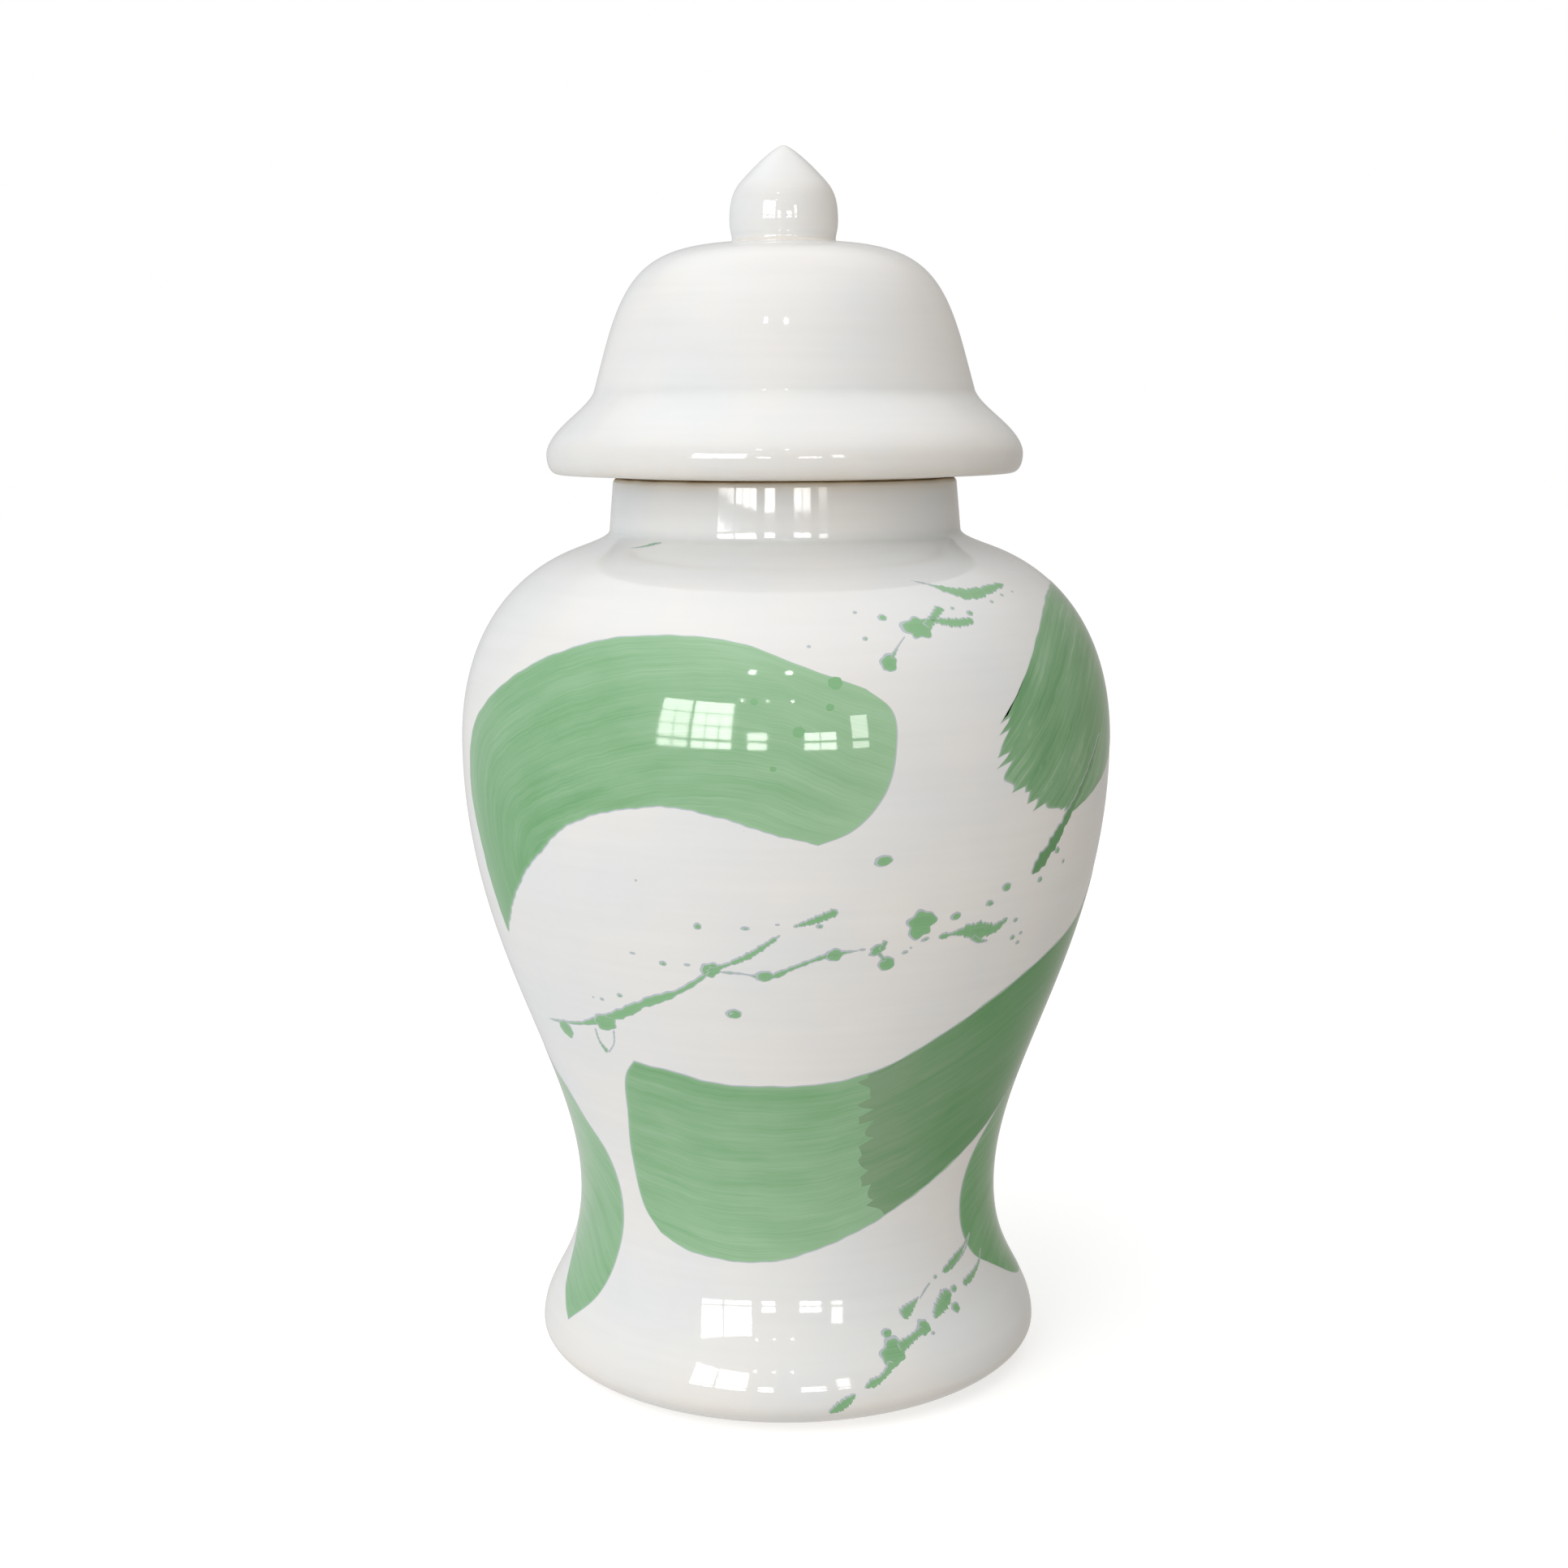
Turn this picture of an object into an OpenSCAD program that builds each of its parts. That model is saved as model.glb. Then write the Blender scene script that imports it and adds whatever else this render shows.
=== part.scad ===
// Covered baluster jar (ginger jar) in glazed earthenware.
// The jar stands on z = 0 with its axis on Z. The lid drops in from above:
// its locating ring hangs inside the neck and its flat seat rests on the rim.

/* [Jar foot] */
// Outer radius of the flat ring that the jar stands on
foot_ring_r = 79; // [76:0.5:82]
// Width of the flat ring that the jar stands on
foot_ring_w = 9; // [6:0.5:12]
// Greatest radius of the flared foot
foot_r = 96.5; // [92:0.5:100]
// Height of the foot's greatest radius
foot_z = 11; // [9:0.5:14]
// Depth of the recess under the base
recess_h = 5; // [3:0.5:6]
// Thickness of the jar's floor
floor_t = 8; // [7:0.5:10]

/* [Jar waist and belly] */
// Radius of the waist above the foot
waist_r = 81; // [77:0.5:84]
// Height of the waist
waist_z = 64.5; // [60:0.5:70]
// Radius of the belly at its widest
belly_r = 122.5; // [118:0.5:126]
// Height of the belly's widest point
belly_z = 239; // [232:0.5:242]
// Radius at which the shoulder turns up to the neck
shoulder_r = 81; // [78:0.5:84]
// Height at which the shoulder turns up to the neck
shoulder_z = 310; // [308:0.5:312]
// Slope of the shoulder there, in degrees from level
shoulder_slope = 22; // [18:0.5:26]
// Wall thickness of the jar
wall_t = 6.5; // [5:0.5:7]

/* [Jar neck] */
// Outer radius at the root of the neck
neck_root_r = 66; // [65:0.5:68]
// Height at which the neck's straight side begins
neck_root_z = 318; // [317:0.5:320]
// Outer radius at the top of the neck
neck_top_r = 64.5; // [63.5:0.5:66]
// Radius of the neck's bore
neck_bore_r = 58; // [57:0.5:59]
// Height of the rim, where the lid rests
rim_z = 337; // [335:0.5:340]
// Rounding of the rim's two edges
rim_round = 2; // [1:0.25:2.25]

/* [Lid] */
// Outer radius of the brim
brim_r = 88.5; // [87:0.5:92]
// Radius of the brim's lower lip
lip_r = 84; // [82:0.5:85]
// Height of the lip above the rim
lip_h = 1.5; // [0.5:0.25:2]
// Depth to which the brim is hollowed underneath
brim_hollow = 7; // [4:0.5:9]
// Height of the brim's widest point above the rim
brim_edge_h = 8.5; // [7.5:0.5:10]
// Radius at which the brim meets the lid's side
side_r = 70.5; // [69.5:0.5:72]
// Height at which the brim meets the lid's side, above the rim
side_h = 32; // [31:0.5:34]
// Slope of the lid's side, in degrees from level
side_slope = 74.5; // [73:0.5:76]
// Height of the lid's crown above the rim
crown_h = 85; // [83:0.5:88]
// Wall thickness of the lid
lid_wall_t = 6; // [5:0.5:6.5]

/* [Locating ring] */
// Clearance between the ring and the neck's bore, on the radius
ring_gap = 2; // [1.5:0.25:3]
// Wall thickness of the ring
ring_t = 5.5; // [4.5:0.5:6.5]
// Depth to which the ring hangs below the rim
ring_h = 18; // [12:0.5:18]

/* [Finial] */
// Radius of the finial where it stands on the crown
finial_r = 20; // [18:0.5:21]
// Height of the finial above the crown
finial_h = 35; // [33:0.5:38]
// Radius of the finial's blunt tip
tip_r = 2.25; // [1.5:0.25:3]

/* [Hidden] */
$fn = 96;
glaze = "whitesmoke";
short_steps = 12;
long_steps = 32;

// Heights and radii that follow from the driving dimensions
floor_z = recess_h + floor_t;
crown_z = rim_z + crown_h;
tip_z = crown_z + finial_h;
lip_z = rim_z + lip_h;
ring_outer_r = neck_bore_r - ring_gap;
ring_inner_r = ring_outer_r - ring_t;
seat_r = neck_top_r + 3;

// Slopes, in degrees from level
brim_slope = 44;
cone_slope = 46;
crown_slope = 2;

// The length of each curve's straight run at its start and at its end
foot_edge_reach = [7, 6];
foot_flare_reach = [13, 27];
lower_wall_reach = [52, 79];
upper_wall_reach = [41, 23];
neck_fillet_reach = [8, 3];
neck_inside_reach = [10, 6];
floor_corner_reach = [12, 9];
hollow_reach = [brim_hollow * 1.4, brim_hollow * 1.2];
lip_reach = [3, 4];
brim_edge_reach = [4.5, 3];
flare_reach = [6, 4];
dome_reach = [30, 30];
lid_inside_reach = [16, 24];
finial_waist_reach = [4, 4];
finial_shoulder_reach = [5.2, 7.4];
finial_tip_reach = [5.2, tip_r];

// Unit vector at a degrees from +R towards +Z
function heading(a) = [cos(a), sin(a)];
outward = heading(0);
up = heading(90);
inward = heading(180);
down = heading(270);

// Cubic curve from a, leaving it along out, to d, reaching it along into
function curve(a, out, d, into, reach, n) =
    let (b = a + reach[0] * out, c = d - reach[1] * into)
        [
            for (i = [0:n])
                let (t = i / n, s = 1 - t)
                    s * s * s * a + 3 * s * s * t * b + 3 * s * t * t * c + t * t * t * d
        ];

// Arc about centre with radius r, from angle a0 to angle a1
function arc(centre, r, a0, a1, n) = [
    for (i = [0:n]) centre + r * heading(a0 + (a1 - a0) * i / n)
];

// Path without its first point, so that it follows on from another path
function tail(path) = [for (i = [1:len(path) - 1]) path[i]];

// Path in the opposite direction
function reversed(path) = [for (i = [len(path) - 1:-1:0]) path[i]];

// Path moved sideways by d, to the left of its direction of travel
function inset(path, d) = [
    for (i = [0:len(path) - 1])
        let (
            run = path[min(i + 1, len(path) - 1)] - path[max(i - 1, 0)],
            side = [-run[1], run[0]] / norm(run)
        )
            path[i] + d * side
];

// Foot, wall, shoulder and neck in one, with a recessed base and an open rim
module jar_body() {
    ring_edge = [foot_ring_r, 0];
    foot_edge = [foot_r, foot_z];
    waist = [waist_r, waist_z];
    belly = [belly_r, belly_z];
    shoulder = [shoulder_r, shoulder_z];
    neck_root = [neck_root_r, neck_root_z];
    shoulder_dir = heading(180 - shoulder_slope);
    wall = concat(
        curve(foot_edge, up, waist, up, foot_flare_reach, long_steps),
        tail(curve(waist, up, belly, up, lower_wall_reach, long_steps)),
        tail(curve(belly, up, shoulder, shoulder_dir, upper_wall_reach, long_steps))
    );
    outside = concat(
        curve(ring_edge, outward, foot_edge, up, foot_edge_reach, short_steps),
        tail(wall),
        tail(curve(shoulder, shoulder_dir, neck_root, up, neck_fillet_reach, short_steps))
    );
    rim = concat(
        arc([neck_top_r - rim_round, rim_z - rim_round], rim_round, 0, 90, short_steps / 2),
        arc([neck_bore_r + rim_round, rim_z - rim_round], rim_round, 90, 180, short_steps / 2)
    );
    // The inside follows the wall from a little above the floor up to the shoulder
    wall_foot_z = floor_z + 17;
    inside = [for (p = inset(wall, wall_t)) if (p[1] > wall_foot_z) p];
    foot_dir = (inside[0] - inside[1]) / norm(inside[0] - inside[1]);
    floor_edge = [foot_ring_r - 16, floor_z];
    floor_corner = curve(inside[0], foot_dir, floor_edge, inward, floor_corner_reach, short_steps);
    bore_foot = [neck_bore_r, neck_root_z + 2];
    neck_inside = curve(
        inside[len(inside) - 1], shoulder_dir, bore_foot, up, neck_inside_reach, short_steps
    );
    ring_inner_edge = foot_ring_r - foot_ring_w;
    base = [
        [0, floor_z],
        [0, recess_h],
        [ring_inner_edge - recess_h, recess_h],
        [ring_inner_edge, 0]
    ];
    color(glaze) rotate_extrude() polygon(concat(
        outside, rim, reversed(tail(neck_inside)), reversed(inside), tail(floor_corner), base
    ));
}

// Bell-shaped lid: flat seat, brim hollowed underneath, flare, side and domed crown
module lid_shell() {
    side_dir = heading(180 - side_slope);
    brim_dir = heading(180 - brim_slope);
    crown_dir = heading(180 - crown_slope);
    seat_edge = [seat_r, rim_z];
    lip = [lip_r, lip_z];
    lip_inner = lip + [-1.5, 0.75];
    brim_edge = [brim_r, rim_z + brim_edge_h];
    brim_top = [brim_r - 6.5, rim_z + side_h - 12.5];
    side_foot = [side_r, rim_z + side_h];
    side_top = side_foot + 14 * side_dir;
    crown_edge = [finial_r, crown_z];
    dome = curve(side_top, side_dir, crown_edge, crown_dir, dome_reach, long_steps);
    outside = concat(
        curve(seat_edge, up, lip_inner, down, hollow_reach, short_steps),
        curve(lip, outward, brim_edge, up, lip_reach, short_steps),
        tail(curve(brim_edge, up, brim_top, brim_dir, brim_edge_reach, short_steps)),
        tail(curve(brim_top, brim_dir, side_foot, side_dir, flare_reach, short_steps)),
        dome
    );
    under_dome = [for (p = inset(concat([side_foot], dome), lid_wall_t)) if (p[0] > finial_r) p];
    under_crown = [0, under_dome[len(under_dome) - 1][1]];
    ring_seat = [ring_inner_r, rim_z];
    lid_foot = curve(under_dome[0], -side_dir, ring_seat, down, lid_inside_reach, short_steps);
    color(glaze) rotate_extrude() polygon(concat(
        outside, [[0, crown_z], under_crown], reversed(under_dome), tail(lid_foot)
    ));
}

// Bud-shaped knob, luted to the flat top of the crown
module lid_finial() {
    foot = [finial_r, crown_z];
    waist = [finial_r - 0.4, crown_z + 12];
    cone_dir = heading(180 - cone_slope);
    cone = [12, tip_z - 9];
    tip = [0, tip_z];
    color(glaze) rotate_extrude() polygon(concat(
        [[0, crown_z]],
        curve(foot, up, waist, up, finial_waist_reach, short_steps),
        tail(curve(waist, up, cone, cone_dir, finial_shoulder_reach, short_steps)),
        tail(curve(cone, cone_dir, tip, inward, finial_tip_reach, short_steps))
    ));
}

// Short tube luted under the lid, which keeps the lid centred in the neck
module lid_locating_ring() {
    edge_r = ring_t / 2;
    edge_centre = [ring_inner_r + edge_r, rim_z - ring_h + edge_r];
    color(glaze) rotate_extrude() polygon(concat(
        [[ring_inner_r, rim_z]],
        arc(edge_centre, edge_r, 180, 360, short_steps),
        [[ring_outer_r, rim_z]]
    ));
}

jar_body();
lid_shell();
lid_finial();
lid_locating_ring();
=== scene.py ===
"""Covered baluster jar in glazed earthenware: the looks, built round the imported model.

The jar, the lid, its knob and its locating ring are surfaces of revolution with the sizes of the
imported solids. The painting is a set of thin coats that lie on the jar's outer wall. A place on the
wall is given as a turn, in degrees from the front towards +X, and a climb, in millimetres along the
outer profile from the edge of the ground ring.
"""
import logging
import math
from dataclasses import dataclass, field
from enum import Enum
from typing import Any

import bpy
import numpy as np
from mathutils import Matrix, Vector


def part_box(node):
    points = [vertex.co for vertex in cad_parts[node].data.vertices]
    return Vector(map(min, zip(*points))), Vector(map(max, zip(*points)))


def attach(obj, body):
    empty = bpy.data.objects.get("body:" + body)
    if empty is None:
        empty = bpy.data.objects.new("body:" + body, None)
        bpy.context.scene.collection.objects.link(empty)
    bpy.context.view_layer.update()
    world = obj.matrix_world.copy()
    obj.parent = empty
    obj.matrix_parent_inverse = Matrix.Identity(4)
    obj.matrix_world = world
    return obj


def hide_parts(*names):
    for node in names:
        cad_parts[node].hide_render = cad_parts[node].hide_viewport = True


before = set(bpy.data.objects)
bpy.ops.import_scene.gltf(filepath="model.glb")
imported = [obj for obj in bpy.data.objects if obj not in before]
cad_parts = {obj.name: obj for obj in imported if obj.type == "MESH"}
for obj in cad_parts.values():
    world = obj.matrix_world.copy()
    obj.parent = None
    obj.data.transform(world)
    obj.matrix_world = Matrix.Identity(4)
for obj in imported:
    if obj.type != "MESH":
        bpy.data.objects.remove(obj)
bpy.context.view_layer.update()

LOG = logging.getLogger("ginger_jar")

MM = 0.001
OUTWARD, UP, INWARD, DOWN = 0.0, 90.0, 180.0, 270.0
WALL_MM_PER_DEGREE = 1.7
FULL_TURN = 2.0 * math.pi
GLAZE_INSET = 0.15
EDGE_REACH = 1.6
SHARP_DEGREES = 40.0
ON_AXIS = 1e-6
# Added to the wash of a coat that has no fringe, which puts it out of the fringe's reach, in mm
UNFRINGED = 9.0
# The way in which the wash creeps out of a splash, as turn and climb
CREEP = (-0.8, 0.6)
SPLASH_TONE = 0.15
# How far apart the streak patterns of different strokes and splashes start, in mm
STROKE_STREAKS, SPLASH_STREAKS = 300.0, 40.0

Place = tuple[float, float]
Places = tuple[Place, ...]
Material = bpy.types.Material
Piece = bpy.types.Object
Socket = bpy.types.NodeSocket
Tree = bpy.types.NodeTree


class Finish(Enum):
    """Which finish a band of a surface of revolution takes; the value is its material index."""

    GLAZE = 0
    CLAY = 1


# ---------------------------------------------------------------- lines and profiles


def heading(degrees: float) -> np.ndarray:
    """Unit vector in the profile plane, from +R towards +Z."""
    angle = math.radians(degrees)
    return np.array([math.cos(angle), math.sin(angle)])


def curve(start: Place, leave: float, end: Place, arrive: float, reach: Place, steps: int) -> np.ndarray:
    """Cubic curve: it leaves start along one heading and arrives at end along another.

    The inner control points lie reach[0] ahead of the start and reach[1] short of the end, and the
    point at share t weighs the four by (1-t)^3, 3(1-t)^2 t, 3(1-t) t^2 and t^3.

    Args:
        start: first point, radius and height in mm.
        leave: heading at the start, in degrees.
        end: last point.
        arrive: heading at the end, in degrees.
        reach: length of the straight run at each end, in mm.
        steps: number of steps along the curve.

    Returns:
        The points, one row each.
    """
    a, d = np.array(start, float), np.array(end, float)
    b = a + reach[0] * heading(leave)
    c = d - reach[1] * heading(arrive)
    t = np.linspace(0.0, 1.0, steps + 1)[:, None]
    s = 1.0 - t
    return s**3 * a + 3 * s * s * t * b + 3 * s * t * t * c + t**3 * d


def arc(centre: Place, radius: float, first: float, last: float, steps: int) -> np.ndarray:
    """Points of a circular arc about centre, from one heading to another."""
    angle = np.radians(np.linspace(first, last, steps + 1))
    return np.array(centre) + radius * np.stack([np.cos(angle), np.sin(angle)], axis=1)


def straight(start: Place, end: Place, steps: int) -> np.ndarray:
    """Evenly spaced points from start to end."""
    return np.linspace(start, end, steps + 1)


def inset(path: np.ndarray, depth: float) -> np.ndarray:
    """Path moved sideways by depth, to the left of its direction of travel."""
    run = np.gradient(path, axis=0)
    side = np.stack([-run[:, 1], run[:, 0]], axis=1)
    return path + depth * side / np.linalg.norm(side, axis=1, keepdims=True)


class Line:
    """Smooth line through a few places on the wall, by cubic Hermite pieces."""

    def __init__(self, places: Places) -> None:
        """Measures the chords between the places and the slope at each."""
        self.places = np.array(places, float)
        chords = np.diff(self.places, axis=0) * [WALL_MM_PER_DEGREE, 1.0]
        self.knots = np.concatenate([[0.0], np.cumsum(np.hypot(*chords.T))])
        self.slopes = np.gradient(self.places, self.knots, axis=0)

    def at(self, share: np.ndarray) -> np.ndarray:
        """The line's places at shares of its length.

        Between two knots the place is the Hermite blend of the two places and the two slopes.

        Args:
            share: any array of values from 0 to 1.

        Returns:
            The same shape with turn and climb on a last axis.
        """
        s = np.clip(share, 0.0, 1.0) * self.knots[-1]
        i = np.clip(np.searchsorted(self.knots, s, side="right") - 1, 0, len(self.knots) - 2)
        span = (self.knots[i + 1] - self.knots[i])[..., None]
        t = (s - self.knots[i])[..., None] / span
        start, end = self.places[i], self.places[i + 1]
        leave, arrive = self.slopes[i] * span, self.slopes[i + 1] * span
        return (
            (2 * t**3 - 3 * t**2 + 1) * start
            + (t**3 - 2 * t**2 + t) * leave
            + (3 * t**2 - 2 * t**3) * end
            + (t**3 - t**2) * arrive
        )


def crowded(count: int) -> np.ndarray:
    """Shares from 0 to 1 that lie closer together towards both ends, by half a cosine wave."""
    return 0.5 - 0.5 * np.cos(np.linspace(0.0, math.pi, count))


def waver(share: np.ndarray, seed: int, waves: tuple[float, ...]) -> np.ndarray:
    """Smooth seeded wobble of about -1 to 1: sines of the given wave counts in random phase."""
    phase = np.random.default_rng(seed).uniform(0.0, FULL_TURN, len(waves))
    turns = share[..., None] * np.array(waves) * FULL_TURN + phase
    return np.sin(turns).mean(axis=-1) * 1.4


# ---------------------------------------------------------------- meshes


@dataclass
class Shell:
    """Vertices and quads of a closed surface, with what its finish needs at each vertex.

    A triangle is a quad whose last two corners are the same vertex.
    """

    points: np.ndarray
    quads: np.ndarray
    values: dict[str, np.ndarray] = field(default_factory=dict)
    finish: np.ndarray | None = None
    normals: np.ndarray | None = None
    brush: np.ndarray | None = None

    def facing_out(self) -> "Shell":
        """Turns every face round if the volume that the faces enclose comes out negative."""
        a, b, c, d = (self.points[self.quads[:, k]] for k in range(4))
        volume = (np.cross(b, c) * a).sum() + (np.cross(c, d) * a).sum()
        if volume < 0.0:
            self.quads = self.quads[:, ::-1]
        return self

    @staticmethod
    def joined(shells: list["Shell"]) -> "Shell":
        """One shell that holds several, each keeping its own vertices."""
        starts = np.cumsum([0] + [len(s.points) for s in shells[:-1]])
        return Shell(
            points=np.concatenate([s.points for s in shells]),
            quads=np.concatenate([s.quads + k for s, k in zip(shells, starts)]),
            values={k: np.concatenate([s.values[k] for s in shells]) for k in shells[0].values},
            normals=np.concatenate([s.normals for s in shells]),
            brush=np.concatenate([s.brush for s in shells]),
        )

    def corners(self) -> list[list[int]]:
        """Each face's vertices, with the repeated corner of a triangle left out."""
        rows = self.quads.tolist()
        return [list(dict.fromkeys(row)) for row in rows]

    def object(self, name: str, materials: list[Material]) -> Piece:
        """Makes the mesh object.

        Args:
            name: the piece's name.
            materials: its materials, in the order of the Finish values.

        Returns:
            The object, at the origin, unturned and unscaled.
        """
        mesh = bpy.data.meshes.new(name)
        mesh.from_pydata((self.points * MM).tolist(), [], self.corners())
        for material in materials:
            mesh.materials.append(material)
        for key, value in self.values.items():
            mesh.attributes.new(key, "FLOAT", "POINT").data.foreach_set("value", value.astype(np.float32))
        if self.finish is not None:
            mesh.polygons.foreach_set("material_index", self.finish.astype(np.int32))
        corner_vertex = np.zeros(len(mesh.loops), np.int32)
        mesh.loops.foreach_get("vertex_index", corner_vertex)
        if self.brush is not None:
            layer = mesh.uv_layers.new(name="brush")
            layer.data.foreach_set("uv", self.brush[corner_vertex].astype(np.float32).ravel())
        mesh.update()
        mesh.shade_smooth()
        if self.normals is None:
            mesh.set_sharp_from_angle(angle=math.radians(SHARP_DEGREES))
        else:
            mesh.normals_split_custom_set_from_vertices(self.normals.tolist())
        made = bpy.data.objects.new(name, mesh)
        bpy.context.scene.collection.objects.link(made)
        return made


class Profile:
    """Half outline of a pot, gathered band by band and then carried round the Z axis."""

    def __init__(self) -> None:
        """Starts an empty outline."""
        self.bands: list[np.ndarray] = []
        self.finishes: list[np.ndarray] = []

    def add(self, path: np.ndarray, finish: Finish = Finish.GLAZE) -> "Profile":
        """Adds a band; its first point is left out where it repeats the last one."""
        if self.bands and np.allclose(self.bands[-1][-1], path[0], atol=1e-6):
            path = path[1:]
        self.bands.append(path)
        self.finishes.append(np.full(len(path), finish.value))
        return self

    @staticmethod
    def bend(path: np.ndarray, closed: bool, reach: float) -> np.ndarray:
        """How sharply the outline turns near each point, in radians.

        It is the sum of the turning angles of all points, each weighed by a bell curve of the
        distance along the outline. A convex edge is positive and a crease is negative.

        Args:
            path: the outline.
            closed: whether the last point runs on to the first.
            reach: half width of the bell curve, in mm.

        Returns:
            One value for each point.
        """
        ring = np.pad(path, ((1, 1), (0, 0)), "wrap" if closed else "edge")
        step = np.diff(ring, axis=0)
        angle = np.arctan2(step[:, 1], step[:, 0])
        turn = (np.diff(angle) + math.pi) % FULL_TURN - math.pi
        if not closed:
            turn[[0, -1]] = 0.0
        along = np.cumsum(np.hypot(*step.T))[:-1]
        gap = np.abs(along[:, None] - along[None, :])
        return (np.exp(-0.5 * (gap / reach) ** 2) * turn[None, :]).sum(axis=1)

    def revolved(self, sectors: int, sink: "Ripple | None" = None) -> Shell:
        """Carries the outline round Z.

        The point at turn a is (radius sin a, -radius cos a, height). A row that lies on the axis is
        one pole vertex. An outline that stays off the axis is closed on itself.

        Args:
            sectors: number of steps round the axis.
            sink: how far the surface lies inside the outline, if it isn't a true round.

        Returns:
            The closed shell.
        """
        path = np.concatenate(self.bands)
        finishes = np.concatenate(self.finishes)
        closed = bool(path[0, 0] > ON_AXIS)
        if closed and np.allclose(path[0], path[-1]):
            path, finishes = path[:-1], finishes[:-1]
        turn = np.arange(sectors) * 360.0 / sectors
        angle = np.radians(turn)[None, :]
        radius = path[:, :1] - (sink.depth(turn[None, :], path[:, 1:]) if sink else 0.0)
        radius = np.where(path[:, :1] < ON_AXIS, 0.0, radius)
        height = np.broadcast_to(path[:, 1:], (len(path), sectors))
        grid = np.stack([radius * np.sin(angle), -radius * np.cos(angle), height], axis=-1)
        ids = np.arange(grid[..., 0].size).reshape(grid.shape[:2])
        pole = path[:, 0] < ON_AXIS
        ids = np.where(pole[:, None], ids[:, :1], ids)
        lower = ids if closed else ids[:-1]
        upper = np.roll(ids, -1, axis=0) if closed else ids[1:]
        quads = np.stack([lower, np.roll(lower, -1, 1), np.roll(upper, -1, 1), upper], axis=-1)
        face_finish = np.roll(finishes, -1) if closed else finishes[1:]
        face_finish = np.repeat(face_finish, sectors)
        quads = quads.reshape(-1, 4)
        open_face = (quads[:, [0, 1]] != quads[:, [3, 2]]).any(axis=1)
        quads, face_finish = quads[open_face], face_finish[open_face]
        used, quads_flat = np.unique(quads, return_inverse=True)
        quads = quads_flat.reshape(-1, 4)
        # The crease measure below drives both the glaze's cooler pool tint and a painted shade that greys
        # the creases
        bend = np.repeat(self.bend(path, closed, EDGE_REACH), sectors)
        return Shell(
            points=grid.reshape(-1, 3)[used],
            quads=quads,
            values={"thin": np.clip(bend, 0, 1)[used], "pool_and_crease_shade": np.clip(-bend, 0, 1)[used]},
            finish=face_finish,
        ).facing_out()


@dataclass(frozen=True)
class Ripple:
    """How far a hand-finished wall lies inside its true round."""

    least: float = GLAZE_INSET
    most: float = 0.4

    def depth(self, turn: np.ndarray, height: np.ndarray) -> np.ndarray:
        """Depth in mm: two slow waves round the wall, which drift as they rise."""
        wave = np.sin(np.radians(2 * turn) + height / 61.0) + np.sin(np.radians(3 * turn) - height / 43.0)
        return self.least + (self.most - self.least) * (0.5 + 0.25 * wave)


# ---------------------------------------------------------------- finishes


def linear(code: str) -> tuple[float, float, float, float]:
    """Linear colour of an sRGB hex code such as "EDEBE6"."""
    shares = (int(code[k : k + 2], 16) / 255.0 for k in (0, 2, 4))
    return (*(c / 12.92 if c <= 0.04045 else ((c + 0.055) / 1.055) ** 2.4 for c in shares), 1.0)


def add(tree: Tree, kind: str, inputs: dict[Any, Any] | None = None, **settings: Any) -> bpy.types.Node:
    """Adds one node, with its settings and its inputs.

    Args:
        tree: the node tree.
        kind: the node's type name.
        inputs: values or output sockets by input name or number.
        settings: the node's own properties.

    Returns:
        The node.
    """
    node = tree.nodes.new(kind)
    for name, value in settings.items():
        setattr(node, name, value)
    for key, value in (inputs or {}).items():
        if isinstance(value, Socket):
            tree.links.new(value, node.inputs[key])
        else:
            node.inputs[key].default_value = value
    return node


def empty_tree(material: Material | bpy.types.World) -> Tree:
    """The node tree of a material or world, with nothing in it."""
    material.use_nodes = True
    material.node_tree.nodes.clear()
    return material.node_tree


def noise(tree: Tree, vector: Socket, size: tuple[float, float, float], detail: float) -> Socket:
    """Noise whose features are size long along each axis, in the unit of the coordinates."""
    scale = tuple(1.0 / s for s in size)
    mapping = add(tree, "ShaderNodeMapping", {"Vector": vector, "Scale": scale})
    made = add(tree, "ShaderNodeTexNoise", {"Vector": mapping.outputs[0], "Scale": 1.0, "Detail": detail})
    return made.outputs["Fac"]


def remap(tree: Tree, value: Socket, low: float, high: float, to_low: float, to_high: float) -> Socket:
    """Value moved from one range to another, and held inside it."""
    inputs = {"Value": value, "From Min": low, "From Max": high, "To Min": to_low, "To Max": to_high}
    return add(tree, "ShaderNodeMapRange", inputs).outputs[0]


def mix(tree: Tree, share: Any, first: Any, second: Any, blend: str = "MIX") -> Socket:
    """Blend of two colours."""
    inputs = {"Fac": share, "Color1": first, "Color2": second}
    return add(tree, "ShaderNodeMixRGB", inputs, blend_type=blend).outputs[0]


def calculate(tree: Tree, operation: str, first: Any, second: Any) -> Socket:
    """One sum on two values."""
    return add(tree, "ShaderNodeMath", {0: first, 1: second}, operation=operation).outputs[0]


def attribute(tree: Tree, name: str) -> Socket:
    """Value of one of the mesh's own attributes."""
    return add(tree, "ShaderNodeAttribute", attribute_name=name).outputs["Fac"]


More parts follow.
